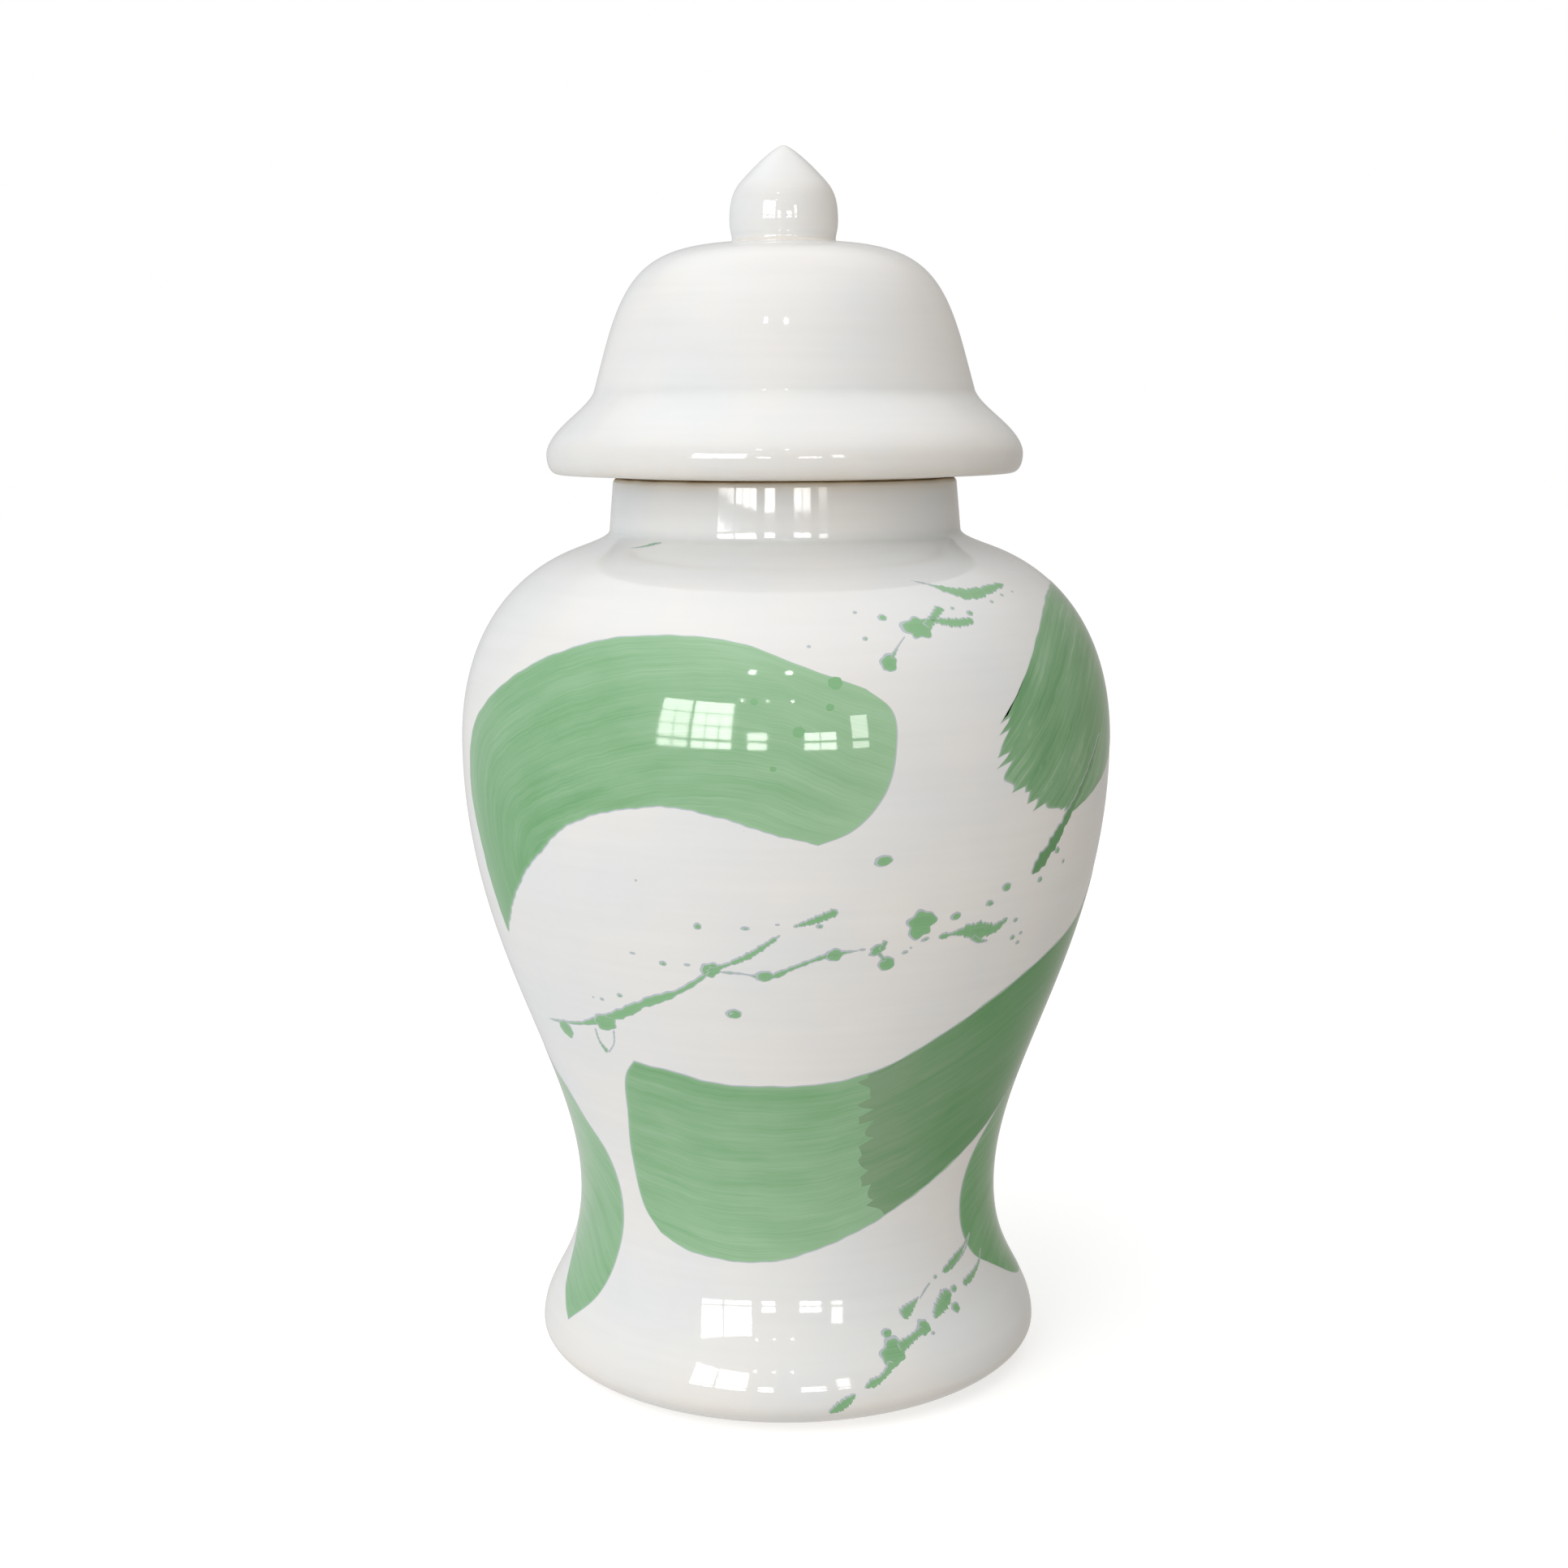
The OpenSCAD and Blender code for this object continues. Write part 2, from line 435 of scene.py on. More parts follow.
@dataclass(frozen=True)
class GlazeSkin:
    """What every glazed surface shares: the fired glass skin's gloss and its small unevenness."""

    ior: float = 1.5
    roughness: float = 0.05
    roughness_swing: float = 0.02
    peel: float = 4 * MM
    peel_depth: float = 0.005 * MM
    ring_gap: float = 9 * MM
    ring_depth: float = 0.009 * MM

    def finish(self, tree: Tree, where: Socket, colour: Socket) -> None:
        """Ends the tree in a glossy shader over the colour.

        Args:
            tree: the material's node tree.
            where: object coordinates.
            colour: the body colour.
        """
        peel = noise(tree, where, (self.peel, self.peel, self.peel), 1.0)
        rings = noise(tree, where, (0.3, 0.3, self.ring_gap), 0.5)
        low = add(tree, "ShaderNodeBump", {"Height": rings, "Distance": self.ring_depth})
        inputs = {"Height": peel, "Distance": self.peel_depth, "Normal": low.outputs[0]}
        bump = add(tree, "ShaderNodeBump", inputs)
        haze = noise(tree, where, (0.03, 0.03, 0.03), 2.0)
        shiny, dull = self.roughness - self.roughness_swing, self.roughness + self.roughness_swing
        rough = remap(tree, haze, 0.35, 0.7, shiny, dull)
        inputs = {"Base Color": colour, "Roughness": rough, "IOR": self.ior, "Normal": bump.outputs[0]}
        shader = add(tree, "ShaderNodeBsdfPrincipled", inputs)
        add(tree, "ShaderNodeOutputMaterial", {"Surface": shader.outputs[0]})


@dataclass(frozen=True)
class WhiteGlaze:
    """Opaque white glaze on cast earthenware, dipped and fired glossy.

    It gives a soft, faintly cloudy white with level wiping marks. It runs thin and warm over sharp
    edges, gathers cooler where it pools in creases and is greyed there by painted shade as well, and holds
    a few iron specks from the clay.
    """

    warm: str = "F0EEEB"
    cool: str = "E9EBEC"
    thin: str = "DDD0BA"
    # Crease colour: the glaze's cooler pool tint, darkened as painted shade in the creases
    pool_and_crease_shade: str = "CFD5D3"
    speck: str = "8C7B63"
    cloud: float = 55 * MM
    mark: float = 3.5 * MM
    speck_gap: float = 13 * MM
    specked_share: float = 0.1
    skin: GlazeSkin = GlazeSkin()

    def material(self) -> Material:
        """The material."""
        made = bpy.data.materials.new("white_earthenware_glaze")
        tree = empty_tree(made)
        where = add(tree, "ShaderNodeTexCoord").outputs["Object"]
        cloud = noise(tree, where, (self.cloud,) * 3, 3.0)
        share = remap(tree, cloud, 0.35, 0.65, 0.0, 1.0)
        colour = mix(tree, share, linear(self.warm), linear(self.cool))
        marks = noise(tree, where, (0.09, 0.09, self.mark), 3.0)
        shade = remap(tree, marks, 0.3, 0.7, 0.975, 1.0)
        grey = add(tree, "ShaderNodeCombineColor", {0: shade, 1: shade, 2: shade}).outputs[0]
        colour = mix(tree, 1.0, colour, grey, "MULTIPLY")
        ragged = noise(tree, where, (9 * MM,) * 3, 2.0)
        thin = self.scaled(tree, attribute(tree, "thin"), ragged, 0.45)
        colour = mix(tree, thin, colour, linear(self.thin))
        # Painted shade: concave creases are greyed towards the crease colour, on top of the glaze's own
        # cooler pool tint
        pool_and_crease_shade = self.scaled(tree, attribute(tree, "pool_and_crease_shade"), ragged, 0.6)
        colour = mix(tree, pool_and_crease_shade, colour, linear(self.pool_and_crease_shade))
        colour = mix(tree, self.specks(tree, where), colour, linear(self.speck))
        self.skin.finish(tree, where, colour)
        return made

    @staticmethod
    def scaled(tree: Tree, value: Socket, ragged: Socket, most: float) -> Socket:
        """An attribute times uneven noise, up to a greatest share."""
        uneven = remap(tree, ragged, 0.3, 0.7, most * 0.6, most)
        return calculate(tree, "MULTIPLY", value, uneven)

    def specks(self, tree: Tree, where: Socket) -> Socket:
        """Share of iron speck: dots at scattered cell centres, of which only a few cells have one."""
        cells = add(tree, "ShaderNodeTexVoronoi", {"Vector": where, "Scale": 1.0 / self.speck_gap})
        dot = remap(tree, cells.outputs["Distance"], 0.012, 0.03, 0.6, 0.0)
        chosen = add(tree, "ShaderNodeSeparateColor", {0: cells.outputs["Color"]}).outputs[0]
        kept = calculate(tree, "GREATER_THAN", chosen, 1.0 - self.specked_share)
        return calculate(tree, "MULTIPLY", dot, kept)


@dataclass(frozen=True)
class BareClay:
    """Biscuit-fired earthenware wiped clean of glaze: matt, cream, finely gritty, stained by use."""

    clay: str = "D9CBB2"
    stain: str = "B7A487"
    grit: float = 0.6 * MM
    grit_depth: float = 0.06 * MM
    stain_size: float = 9 * MM

    def material(self) -> Material:
        """The material."""
        made = bpy.data.materials.new("bare_earthenware")
        tree = empty_tree(made)
        where = add(tree, "ShaderNodeTexCoord").outputs["Object"]
        stain = remap(tree, noise(tree, where, (self.stain_size,) * 3, 4.0), 0.4, 0.7, 0.0, 0.8)
        colour = mix(tree, stain, linear(self.clay), linear(self.stain))
        grit = noise(tree, where, (self.grit,) * 3, 2.0)
        bump = add(tree, "ShaderNodeBump", {"Height": grit, "Distance": self.grit_depth})
        inputs = {"Base Color": colour, "Roughness": 0.85, "IOR": 1.5, "Normal": bump.outputs[0]}
        shader = add(tree, "ShaderNodeBsdfPrincipled", inputs)
        add(tree, "ShaderNodeOutputMaterial", {"Surface": shader.outputs[0]})
        return made


@dataclass(frozen=True)
class BrushedGreen:
    """Copper green stain brushed on under the clear glaze.

    The bristles leave long streaks, the first touch of the brush is lighter and the end darker, and
    the wash that creeps out of the coat dries as a thin lavender-grey line round its edge.
    """

    name: str
    pale: str
    full: str
    deep: str
    fringe: str = "C6C8D6"
    fringe_width: float = 0.7
    bristle: float = 0.7
    bristle_run: float = 30.0
    patch: float = 12.0
    contrast: float = 0.27
    skin: GlazeSkin = GlazeSkin()

    def material(self) -> Material:
        """The material."""
        made = bpy.data.materials.new(self.name)
        tree = empty_tree(made)
        where = add(tree, "ShaderNodeTexCoord").outputs["Object"]
        brush = add(tree, "ShaderNodeUVMap", uv_map="brush").outputs[0]
        fine = noise(tree, brush, (self.bristle_run, self.bristle, 1.0), 3.0)
        broad = noise(tree, brush, (self.bristle_run * 2.5, self.patch * 0.35, 1.0), 2.0)
        cloud = noise(tree, brush, (self.patch * 2, self.patch, 1.0), 4.0)
        load = calculate(tree, "ADD", calculate(tree, "ADD", fine, broad), cloud)
        load = remap(tree, load, 1.5 - 0.45, 1.5 + 0.45, 0.5 - self.contrast, 0.5 + self.contrast)
        load = calculate(tree, "ADD", load, attribute(tree, "coat"))
        ramp = add(tree, "ShaderNodeValToRGB", {"Fac": load})
        stops = ramp.color_ramp
        stops.elements[0].color = linear(self.pale)
        stops.elements[1].color = linear(self.deep)
        stops.elements.new(0.5).color = linear(self.full)
        colour = ramp.outputs[0]
        rim = attribute(tree, "rim")
        pale_line = remap(tree, rim, self.fringe_width, self.fringe_width + 1.6, 0.35, 0.0)
        colour = mix(tree, pale_line, colour, linear(self.pale))
        fringe = remap(tree, rim, self.fringe_width * 0.7, self.fringe_width, 0.85, 0.0)
        colour = mix(tree, fringe, colour, linear(self.fringe))
        self.skin.finish(tree, where, colour)
        return made


# ---------------------------------------------------------------- the pot


@dataclass
class Jar:
    """Foot, wall, shoulder and neck, made in one, with a recessed base and an open rim."""

    foot_ring_r: float = 79.0
    foot_ring_w: float = 9.0
    foot_edge: Place = (96.5, 11.0)
    recess_h: float = 5.0
    floor_t: float = 8.0
    waist: Place = (81.0, 64.5)
    belly_z: float = 239.0
    shoulder: Place = (81.0, 310.0)
    shoulder_slope: float = 22.0
    wall_t: float = 6.5
    neck_root: Place = (66.0, 318.0)
    neck_top_r: float = 64.5
    neck_bore_r: float = 58.0
    rim_round: float = 2.0
    corner_round: float = 1.0
    sectors: int = 200

    def __post_init__(self) -> None:
        """Takes the widest radius and the rim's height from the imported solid."""
        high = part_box("jar_body")[1]
        self.belly_r = high.x / MM
        self.rim_z = high.z / MM
        self.floor_z = self.recess_h + self.floor_t

    def wall_path(self) -> np.ndarray:
        """The outer wall, from the foot's widest edge to the turn of the shoulder."""
        belly = (self.belly_r, self.belly_z)
        rise = INWARD - self.shoulder_slope
        return np.concatenate([
            curve(self.foot_edge, UP, self.waist, UP, (15, 31), 48),
            curve(self.waist, UP, belly, UP, (52, 79), 72)[1:],
            curve(belly, UP, self.shoulder, rise, (41, 23), 60)[1:],
        ])

    def outside(self) -> np.ndarray:
        """The whole outer profile, from the ground ring's edge to the neck's top."""
        rise = INWARD - self.shoulder_slope
        neck_end = (self.neck_top_r, self.rim_z - self.rim_round)
        return np.concatenate([
            curve((self.foot_ring_r, 0), OUTWARD, self.foot_edge, UP, (7, 6), 16),
            self.wall_path()[1:],
            curve(self.shoulder, rise, self.neck_root, UP, (8, 3), 18)[1:],
            straight(self.neck_root, neck_end, 8)[1:],
        ])

    def profile(self) -> Profile:
        """The closed half outline, counter-clockwise, with its bands of bare clay."""
        rise = INWARD - self.shoulder_slope
        land_z = self.rim_z - self.rim_round
        outer_land = self.neck_top_r - self.rim_round
        inner_land = self.neck_bore_r + self.rim_round
        lining = inset(self.wall_path(), self.wall_t)
        lining = lining[lining[:, 1] > self.floor_z + 17]
        foot_run = lining[0] - lining[1]
        foot_heading = math.degrees(math.atan2(foot_run[1], foot_run[0]))
        floor_edge = (self.foot_ring_r - 16, self.floor_z)
        bore_foot = (self.neck_bore_r, self.neck_root[1] + 2)
        neck_inside = curve(tuple(lining[-1]), rise, bore_foot, UP, (10, 6), 16)
        ring_inner = self.foot_ring_r - self.foot_ring_w
        step, corner = self.recess_h, self.corner_round
        ground = (ring_inner + corner, 0)
        return (
            Profile()
            .add(np.array([[0, self.recess_h]]))
            .add(straight((0, self.recess_h), (ring_inner - step, self.recess_h), 6))
            .add(curve((ring_inner - step, self.recess_h), OUTWARD, (ring_inner, corner), DOWN, (3, 3), 8))
            .add(curve((ring_inner, corner), DOWN, ground, OUTWARD, (0.5, 0.5), 5), Finish.CLAY)
            .add(straight(ground, (self.foot_ring_r, 0), 5), Finish.CLAY)
            .add(self.outside())
            .add(arc((outer_land, land_z), self.rim_round, 0, 50, 5))
            .add(arc((outer_land, land_z), self.rim_round, 50, 90, 4), Finish.CLAY)
            .add(straight((outer_land, self.rim_z), (inner_land, self.rim_z), 3), Finish.CLAY)
            .add(arc((inner_land, land_z), self.rim_round, 90, 180, 8))
            .add(straight((self.neck_bore_r, land_z), bore_foot, 6))
            .add(neck_inside[::-1])
            .add(lining[::-1])
            .add(curve(tuple(lining[0]), foot_heading, floor_edge, INWARD, (12, 9), 18))
            .add(straight(floor_edge, (0, self.floor_z), 8))
        )

    def build(self, materials: list[Material]) -> Piece:
        """Makes the jar and rides it on its body."""
        made = self.profile().revolved(self.sectors, Ripple()).object("glazed_jar", materials)
        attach(made, "jar")
        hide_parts("jar_body")
        return made


@dataclass
class Lid:
    """Bell-shaped lid with its luted knob above and its locating ring below."""

    seat_r: float = 67.5
    seat_relief: float = 0.7
    lip_r: float = 84.0
    lip_h: float = 1.5
    brim_edge_h: float = 8.5
    side_r: float = 70.5
    side_h: float = 32.0
    side_slope: float = 74.5
    brim_slope: float = 44.0
    crown_slope: float = 2.0
    wall_t: float = 6.0
    ring_outer_r: float = 56.0
    ring_t: float = 5.5
    ring_h: float = 18.0
    knob_r: float = 20.0
    knob_foot_r: float = 19.1
    knob_swell: Place = (19.95, 8.0)
    knob_cone: Place = (12.0, 9.0)
    cone_slope: float = 46.0
    tip_r: float = 2.25
    bare_r: float = 60.0
    sectors: int = 200

    def __post_init__(self) -> None:
        """Takes the brim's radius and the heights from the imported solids."""
        shell_low, shell_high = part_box("lid_shell")
        self.rim_z = shell_low.z / MM
        self.brim_r = shell_high.x / MM
        self.crown_z = shell_high.z / MM
        self.tip_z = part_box("lid_finial")[1].z / MM

    def shell_profile(self) -> Profile:
        """Half outline of the bell: seat, hollowed brim, flare, side, dome and lining."""
        side_way, crown_way = INWARD - self.side_slope, INWARD - self.crown_slope
        z = self.rim_z
        ring_inner = self.ring_outer_r - self.ring_t
        seat_edge = (self.seat_r, z + self.seat_relief)
        lip = (self.lip_r, z + self.lip_h)
        lip_inner = (self.lip_r - 1.5, z + self.lip_h + 0.75)
        brim_edge = (self.brim_r, z + self.brim_edge_h)
        brim_top = (self.brim_r - 6.5, z + self.side_h - 12.5)
        side_foot = (self.side_r, z + self.side_h)
        side_top = tuple(np.array(side_foot) + 14 * heading(side_way))
        dome = curve(side_top, side_way, (self.knob_r, self.crown_z), crown_way, (30, 30), 60)
        side = straight(side_foot, side_top, 6)
        lining = inset(np.concatenate([side[:-1], dome]), self.wall_t)
        lining = lining[lining[:, 0] > self.knob_r]
        lid_foot = curve(tuple(lining[0]), DOWN - self.side_slope + 90, (ring_inner, z), DOWN, (16, 24), 20)
        return (
            Profile()
            .add(np.array([[0, lining[-1, 1]]]))
            .add(straight((0, lining[-1, 1]), tuple(lining[-1]), 6))
            .add(lining[::-1])
            .add(lid_foot)
            .add(straight((ring_inner, z), (self.bare_r, z), 4), Finish.CLAY)
            .add(straight((self.bare_r, z), seat_edge, 6), Finish.CLAY)
            .add(curve(seat_edge, UP, lip_inner, DOWN, (9.2, 8.4), 24))
            .add(curve(lip_inner, DOWN, lip, OUTWARD, (0.6, 0.6), 6))
            .add(curve(lip, OUTWARD, brim_edge, UP, (3, 4), 16))
            .add(curve(brim_edge, UP, brim_top, INWARD - self.brim_slope, (4.5, 3), 20))
            .add(curve(brim_top, INWARD - self.brim_slope, side_foot, side_way, (6, 4), 20))
            .add(side)
            .add(dome)
            .add(straight((self.knob_r, self.crown_z), (0, self.crown_z), 6))
        )

    def knob_profile(self) -> Profile:
        """Half outline of the bud-shaped knob."""
        z = self.crown_z
        swell = (self.knob_swell[0], z + self.knob_swell[1])
        cone = (self.knob_cone[0], self.tip_z - self.knob_cone[1])
        cone_way = INWARD - self.cone_slope
        foot, throat = (self.knob_r, z), (self.knob_foot_r, z + 1.6)
        return (
            Profile()
            .add(np.array([[0, z]]))
            .add(straight((0, z), foot, 4))
            .add(curve(foot, INWARD - 25.0, throat, UP, (0.5, 0.7), 8))
            .add(curve(throat, UP, swell, UP, (1.5, 3.2), 20))
            .add(curve(swell, UP, cone, cone_way, (10.5, 7.4), 36))
            .add(curve(cone, cone_way, (0, self.tip_z), INWARD, (5.2, self.tip_r), 28))
        )

    def ring_profile(self) -> Profile:
        """Half outline of the locating ring, whose rounded lower edge is wiped bare."""
        inner, half = self.ring_outer_r - self.ring_t, self.ring_t / 2
        centre = (inner + half, self.rim_z - self.ring_h + half)
        return (
            Profile()
            .add(straight((inner, self.rim_z), (inner, centre[1]), 8))
            .add(arc(centre, half, 180, 360, 16), Finish.CLAY)
            .add(straight((self.ring_outer_r, centre[1]), (self.ring_outer_r, self.rim_z), 8))
            .add(straight((self.ring_outer_r, self.rim_z), (inner, self.rim_z), 2))
        )

    def build(self, materials: list[Material]) -> list[Piece]:
        """Makes the lid's three pieces and rides them on its body."""
        parts = {
            "glazed_lid": (self.shell_profile(), "lid_shell"),
            "bud_knob": (self.knob_profile(), "lid_finial"),
            "locating_ring": (self.ring_profile(), "lid_locating_ring"),
        }
        made = []
        for name, (profile, node) in parts.items():
            piece = profile.revolved(self.sectors).object(name, materials)
            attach(piece, "lid")
            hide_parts(node)
            made.append(piece)
        return made


# ---------------------------------------------------------------- the painting


class Wall:
    """The jar's outer wall as something to paint on."""

    def __init__(self, jar: Jar) -> None:
        """Measures the outer profile."""
        self.path = jar.outside()
        step = np.diff(self.path, axis=0)
        self.climb = np.concatenate([[0.0], np.cumsum(np.hypot(*step.T))])
        run = np.gradient(self.path, self.climb, axis=0)
        self.out = np.stack([run[:, 1], -run[:, 0]], axis=1)
        self.out /= np.linalg.norm(self.out, axis=1, keepdims=True)
        self.ripple = Ripple()

    def radius(self, climb: np.ndarray) -> np.ndarray:
        """Radius of the wall at each climb."""
        return np.interp(climb, self.climb, self.path[:, 0])

    def normal(self, places: np.ndarray) -> np.ndarray:
        """The way out of the wall at each place."""
        angle = np.radians(places[..., 0])
        out_r = np.interp(places[..., 1], self.climb, self.out[:, 0])
        out_z = np.interp(places[..., 1], self.climb, self.out[:, 1])
        return np.stack([out_r * np.sin(angle), -out_r * np.cos(angle), out_z], axis=-1)

    def at(self, places: np.ndarray, proud: np.ndarray | float) -> np.ndarray:
        """Point at each place, proud mm out of the wall."""
        angle = np.radians(places[..., 0])
        height = np.interp(places[..., 1], self.climb, self.path[:, 1])
        radius = self.radius(places[..., 1]) - self.ripple.depth(places[..., 0], height)
        foot = np.stack([radius * np.sin(angle), -radius * np.cos(angle), height], axis=-1)
        return foot + self.normal(places) * np.asarray(proud)[..., None]

    def flat(self, places: np.ndarray) -> np.ndarray:
        """Places unrolled to mm along and up the wall."""
        along = np.radians(places[..., 0]) * self.radius(places[..., 1])
        return np.stack([along, places[..., 1]], axis=-1)


@dataclass
class Coat:
    """A thin closed coat over a grid of places: its face is proud of the wall, its back is sunk.

    At each place, rim is the distance from the outline, wash is that distance as the fringe reads
    it, brush is where the place lies in the streaks, and tone is how much darker it is.
    """

    places: np.ndarray
    rim: np.ndarray
    wash: np.ndarray
    brush: np.ndarray
    tone: np.ndarray
    proud: float = 0.1
    edge_sunk: float = -0.05
    back_sunk: float = -0.3
    edge_run: float = 0.3

    def shell(self, wall: Wall) -> Shell:
        """Closes the coat.

        The face rises from edge_sunk at the outline to proud within edge_run mm. The back shares
        the outline's vertices.

        Args:
            wall: the wall that it lies on.

        Returns:
            The closed shell, shaded as the wall is.
        """
        rows, columns = self.rim.shape
        rise = np.clip(self.rim / self.edge_run, 0.0, 1.0)
        face = wall.at(self.places, self.edge_sunk + (self.proud - self.edge_sunk) * rise)
        back = wall.at(self.places[1:-1, 1:-1], self.back_sunk)
        normal = wall.normal(self.places)
        face_ids = np.arange(rows * columns).reshape(rows, columns)
        back_ids = face_ids.copy()
        back_ids[1:-1, 1:-1] = rows * columns + np.arange((rows - 2) * (columns - 2)).reshape(rows - 2, -1)
        quads = [self.quads(face_ids), self.quads(back_ids)[:, ::-1]]
        inner = (slice(1, -1), slice(1, -1))

        def both(grid: np.ndarray) -> np.ndarray:
            """A value of the face's vertices, then of the back's."""
            tail = grid.shape[2:]
            return np.concatenate([grid.reshape(-1, *tail), grid[inner].reshape(-1, *tail)])

        normals = both(normal)
        normals[rows * columns :] *= -1.0
        return Shell(
            points=np.concatenate([face.reshape(-1, 3), back.reshape(-1, 3)]),
            quads=np.concatenate(quads),
            values={"rim": both(self.wash), "coat": both(self.tone)},
            normals=normals,
            brush=both(self.brush),
        ).facing_out()

    @staticmethod
    def quads(ids: np.ndarray) -> np.ndarray:
        """The faces between neighbouring vertices of a grid."""
        return np.stack([ids[:-1, :-1], ids[1:, :-1], ids[1:, 1:], ids[:-1, 1:]], axis=-1).reshape(-1, 4)


@dataclass
class Stroke:
    """One sweep of a broad flat brush, inside four edge lines.

    A place in it is the Coons blend: the two long edges blended across, plus the two ends blended
    along, less the blend of the four corners.
    """

    name: str
    upper: Places
    lower: Places
    start: Places
    end: Places
    seed: int
    tone: Place = (0.0, 0.0)
    across: float = 0.0
    darkest: float = 1.0
    wobble: float = 0.35
    teeth: int = 0
    teeth_push: Place = (0.0, 0.0)
    from_share: Place = (0.0, 0.0)
    step_teeth: int = 0
    step_ragged: float = 0.0
    proud: float = 0.1
    grid: tuple[int, int] = (170, 97)
    trim: float = 0.0
    fringed: bool = True

    def coons(self, u: np.ndarray, v: np.ndarray) -> np.ndarray:
        """Places at shares u along the stroke and v across it, from the upper edge."""
        upper, lower, start, end = (Line(p) for p in (self.upper, self.lower, self.start, self.end))
        one = np.ones(1)
        corner = {(a, b): (lower if b else upper).at(one * a) for a in (0, 1) for b in (0, 1)}
        us, vs = u[..., None], v[..., None]
        long = (1 - vs) * upper.at(u) + vs * lower.at(u)
        short = (1 - us) * start.at(v) + us * end.at(v)
        both = (1 - us) * ((1 - vs) * corner[0, 0] + vs * corner[0, 1])
        both = both + us * ((1 - vs) * corner[1, 0] + vs * corner[1, 1])
        return long + short - both

    def coat(self, wall: Wall) -> Coat:
        """The stroke as a coat on the wall.

        The long edges waver, and the dry end of the brush breaks up into teeth: the share by which
        a bristle track runs on is a sawtooth of its place across the brush.
        """
        u, v = np.meshgrid(crowded(self.grid[0]), crowded(self.grid[1]), indexing="ij")
        first = self.from_share[0] + (self.from_share[1] - self.from_share[0]) * v
        first = first + self.step_ragged * self.ragged(v, self.seed + 5, self.step_teeth)
        v = self.trim + (1 - 2 * self.trim) * v
        share = first + (1 - self.trim / 3 - first) * u
        places = self.coons(share, v)
        across = np.gradient(places, axis=1) * [WALL_MM_PER_DEGREE, 1.0]
        across /= np.maximum(np.linalg.norm(across, axis=-1, keepdims=True), 1e-9)
        edge = (1 - v) ** 8 * waver(share, self.seed, (5, 9, 16, 27))
        edge = edge - v**8 * waver(share, self.seed + 1, (4, 7, 14, 31))
        ends = np.sin(math.pi * np.clip(u * 12, 0, 0.5)) * np.sin(math.pi * np.clip((1 - u) * 12, 0, 0.5))
        places = places + across * (edge * ends * self.wobble)[..., None] / [WALL_MM_PER_DEGREE, 1.0]
        flat = wall.flat(places)
        middle = self.run(flat, 0).mean(axis=1, keepdims=True)
        along = np.broadcast_to(middle, v.shape) + STROKE_STREAKS * self.seed
        brush = np.stack([along, self.run(flat, 1)], axis=-1)
        if self.teeth:
            tooth = self.ragged(v, self.seed + 2, self.teeth) * np.sin(math.pi * v) ** 0.3
            places = places + (u**10 * tooth)[..., None] * np.array(self.teeth_push)
            flat = wall.flat(places)
        along, over = self.run(flat, 0), self.run(flat, 1)
        rim = np.minimum.reduce([along, along[-1:] - along, over, over[:, -1:] - over])
        tone = self.tone[0] + (self.tone[1] - self.tone[0]) * share + self.across * (v - 0.5)
        wash = rim if self.fringed else rim + UNFRINGED
        return Coat(places, rim, wash, brush, np.minimum(tone, self.darkest), self.proud)

    @staticmethod
    def ragged(v: np.ndarray, seed: int, count: int) -> np.ndarray:
        """Uneven sawtooth of the share across the brush, from 0 to about 1."""
        if not count:
            return np.zeros_like(v)
        phase = v * count + 0.6 * waver(v, seed, (2, 3, 5))
        height = 0.65 + 0.35 * waver(np.floor(phase) / count, seed + 1, (7, 11))
        return (phase % 1.0) ** 1.3 * height

    @staticmethod
    def run(flat: np.ndarray, axis: int) -> np.ndarray:
        """Distance in mm from the grid's first row or column, measured along the grid."""
        step = np.linalg.norm(np.diff(flat, axis=axis), axis=-1)
        pad = ((1, 0), (0, 0)) if axis == 0 else ((0, 0), (1, 0))
        return np.pad(np.cumsum(step, axis=axis), pad)


@dataclass
class Drop:
    """One blob of splashed paint: a round stretched to its two radii and given a wavy outline."""

    turn: float
    climb: float
    wide: float
    tall: float = 0.0
    tilt: float = 0.0
    rough: float = 0.1
    proud: float = 0.13
    side: int = 17
    creep: float = 0.35
    fringed: bool = True

    def coat(self, wall: Wall, seed: int) -> Coat:
        """The drop as a coat.

        A square grid from -1 to 1 is bowed to a disc, (x, y) to (x sqrt(1 - y^2/2), y sqrt(1 - x^2/2)),
        and its radius is then scaled by a seeded sum of waves round it.

        Args:
            wall: the wall that it lies on.
            seed: which outline it has.

        Returns:
            The coat.
        """
        line = np.sin(np.linspace(-math.pi / 2, math.pi / 2, self.side))
        x, y = np.meshgrid(line, line, indexing="ij")
        disc = np.stack([x * np.sqrt(1 - y * y / 2), y * np.sqrt(1 - x * x / 2)], axis=-1)
        angle = np.arctan2(disc[..., 1], disc[..., 0]) / FULL_TURN
        size = 1.0 + self.rough * waver(angle, seed, (1, 2, 3, 5, 7))
        radii = np.array([self.wide, self.tall or self.wide * 0.85])
        spread = disc * size[..., None] * radii
        c, s = math.cos(math.radians(self.tilt)), math.sin(math.radians(self.tilt))
        spread = spread @ np.array([[c, s], [-s, c]])
        per_degree = math.radians(1.0) * wall.radius(np.array(self.climb))
        places = np.array([self.turn, self.climb]) + spread / [per_degree, 1.0]
        rim = (1.0 - np.linalg.norm(disc, axis=-1)) * radii.min()
        wash = rim - self.creep * disc @ np.array(CREEP) if self.fringed else rim + UNFRINGED
        tone = np.full(rim.shape, SPLASH_TONE)
        return Coat(places, rim, wash, spread + SPLASH_STREAKS * seed, tone, self.proud)


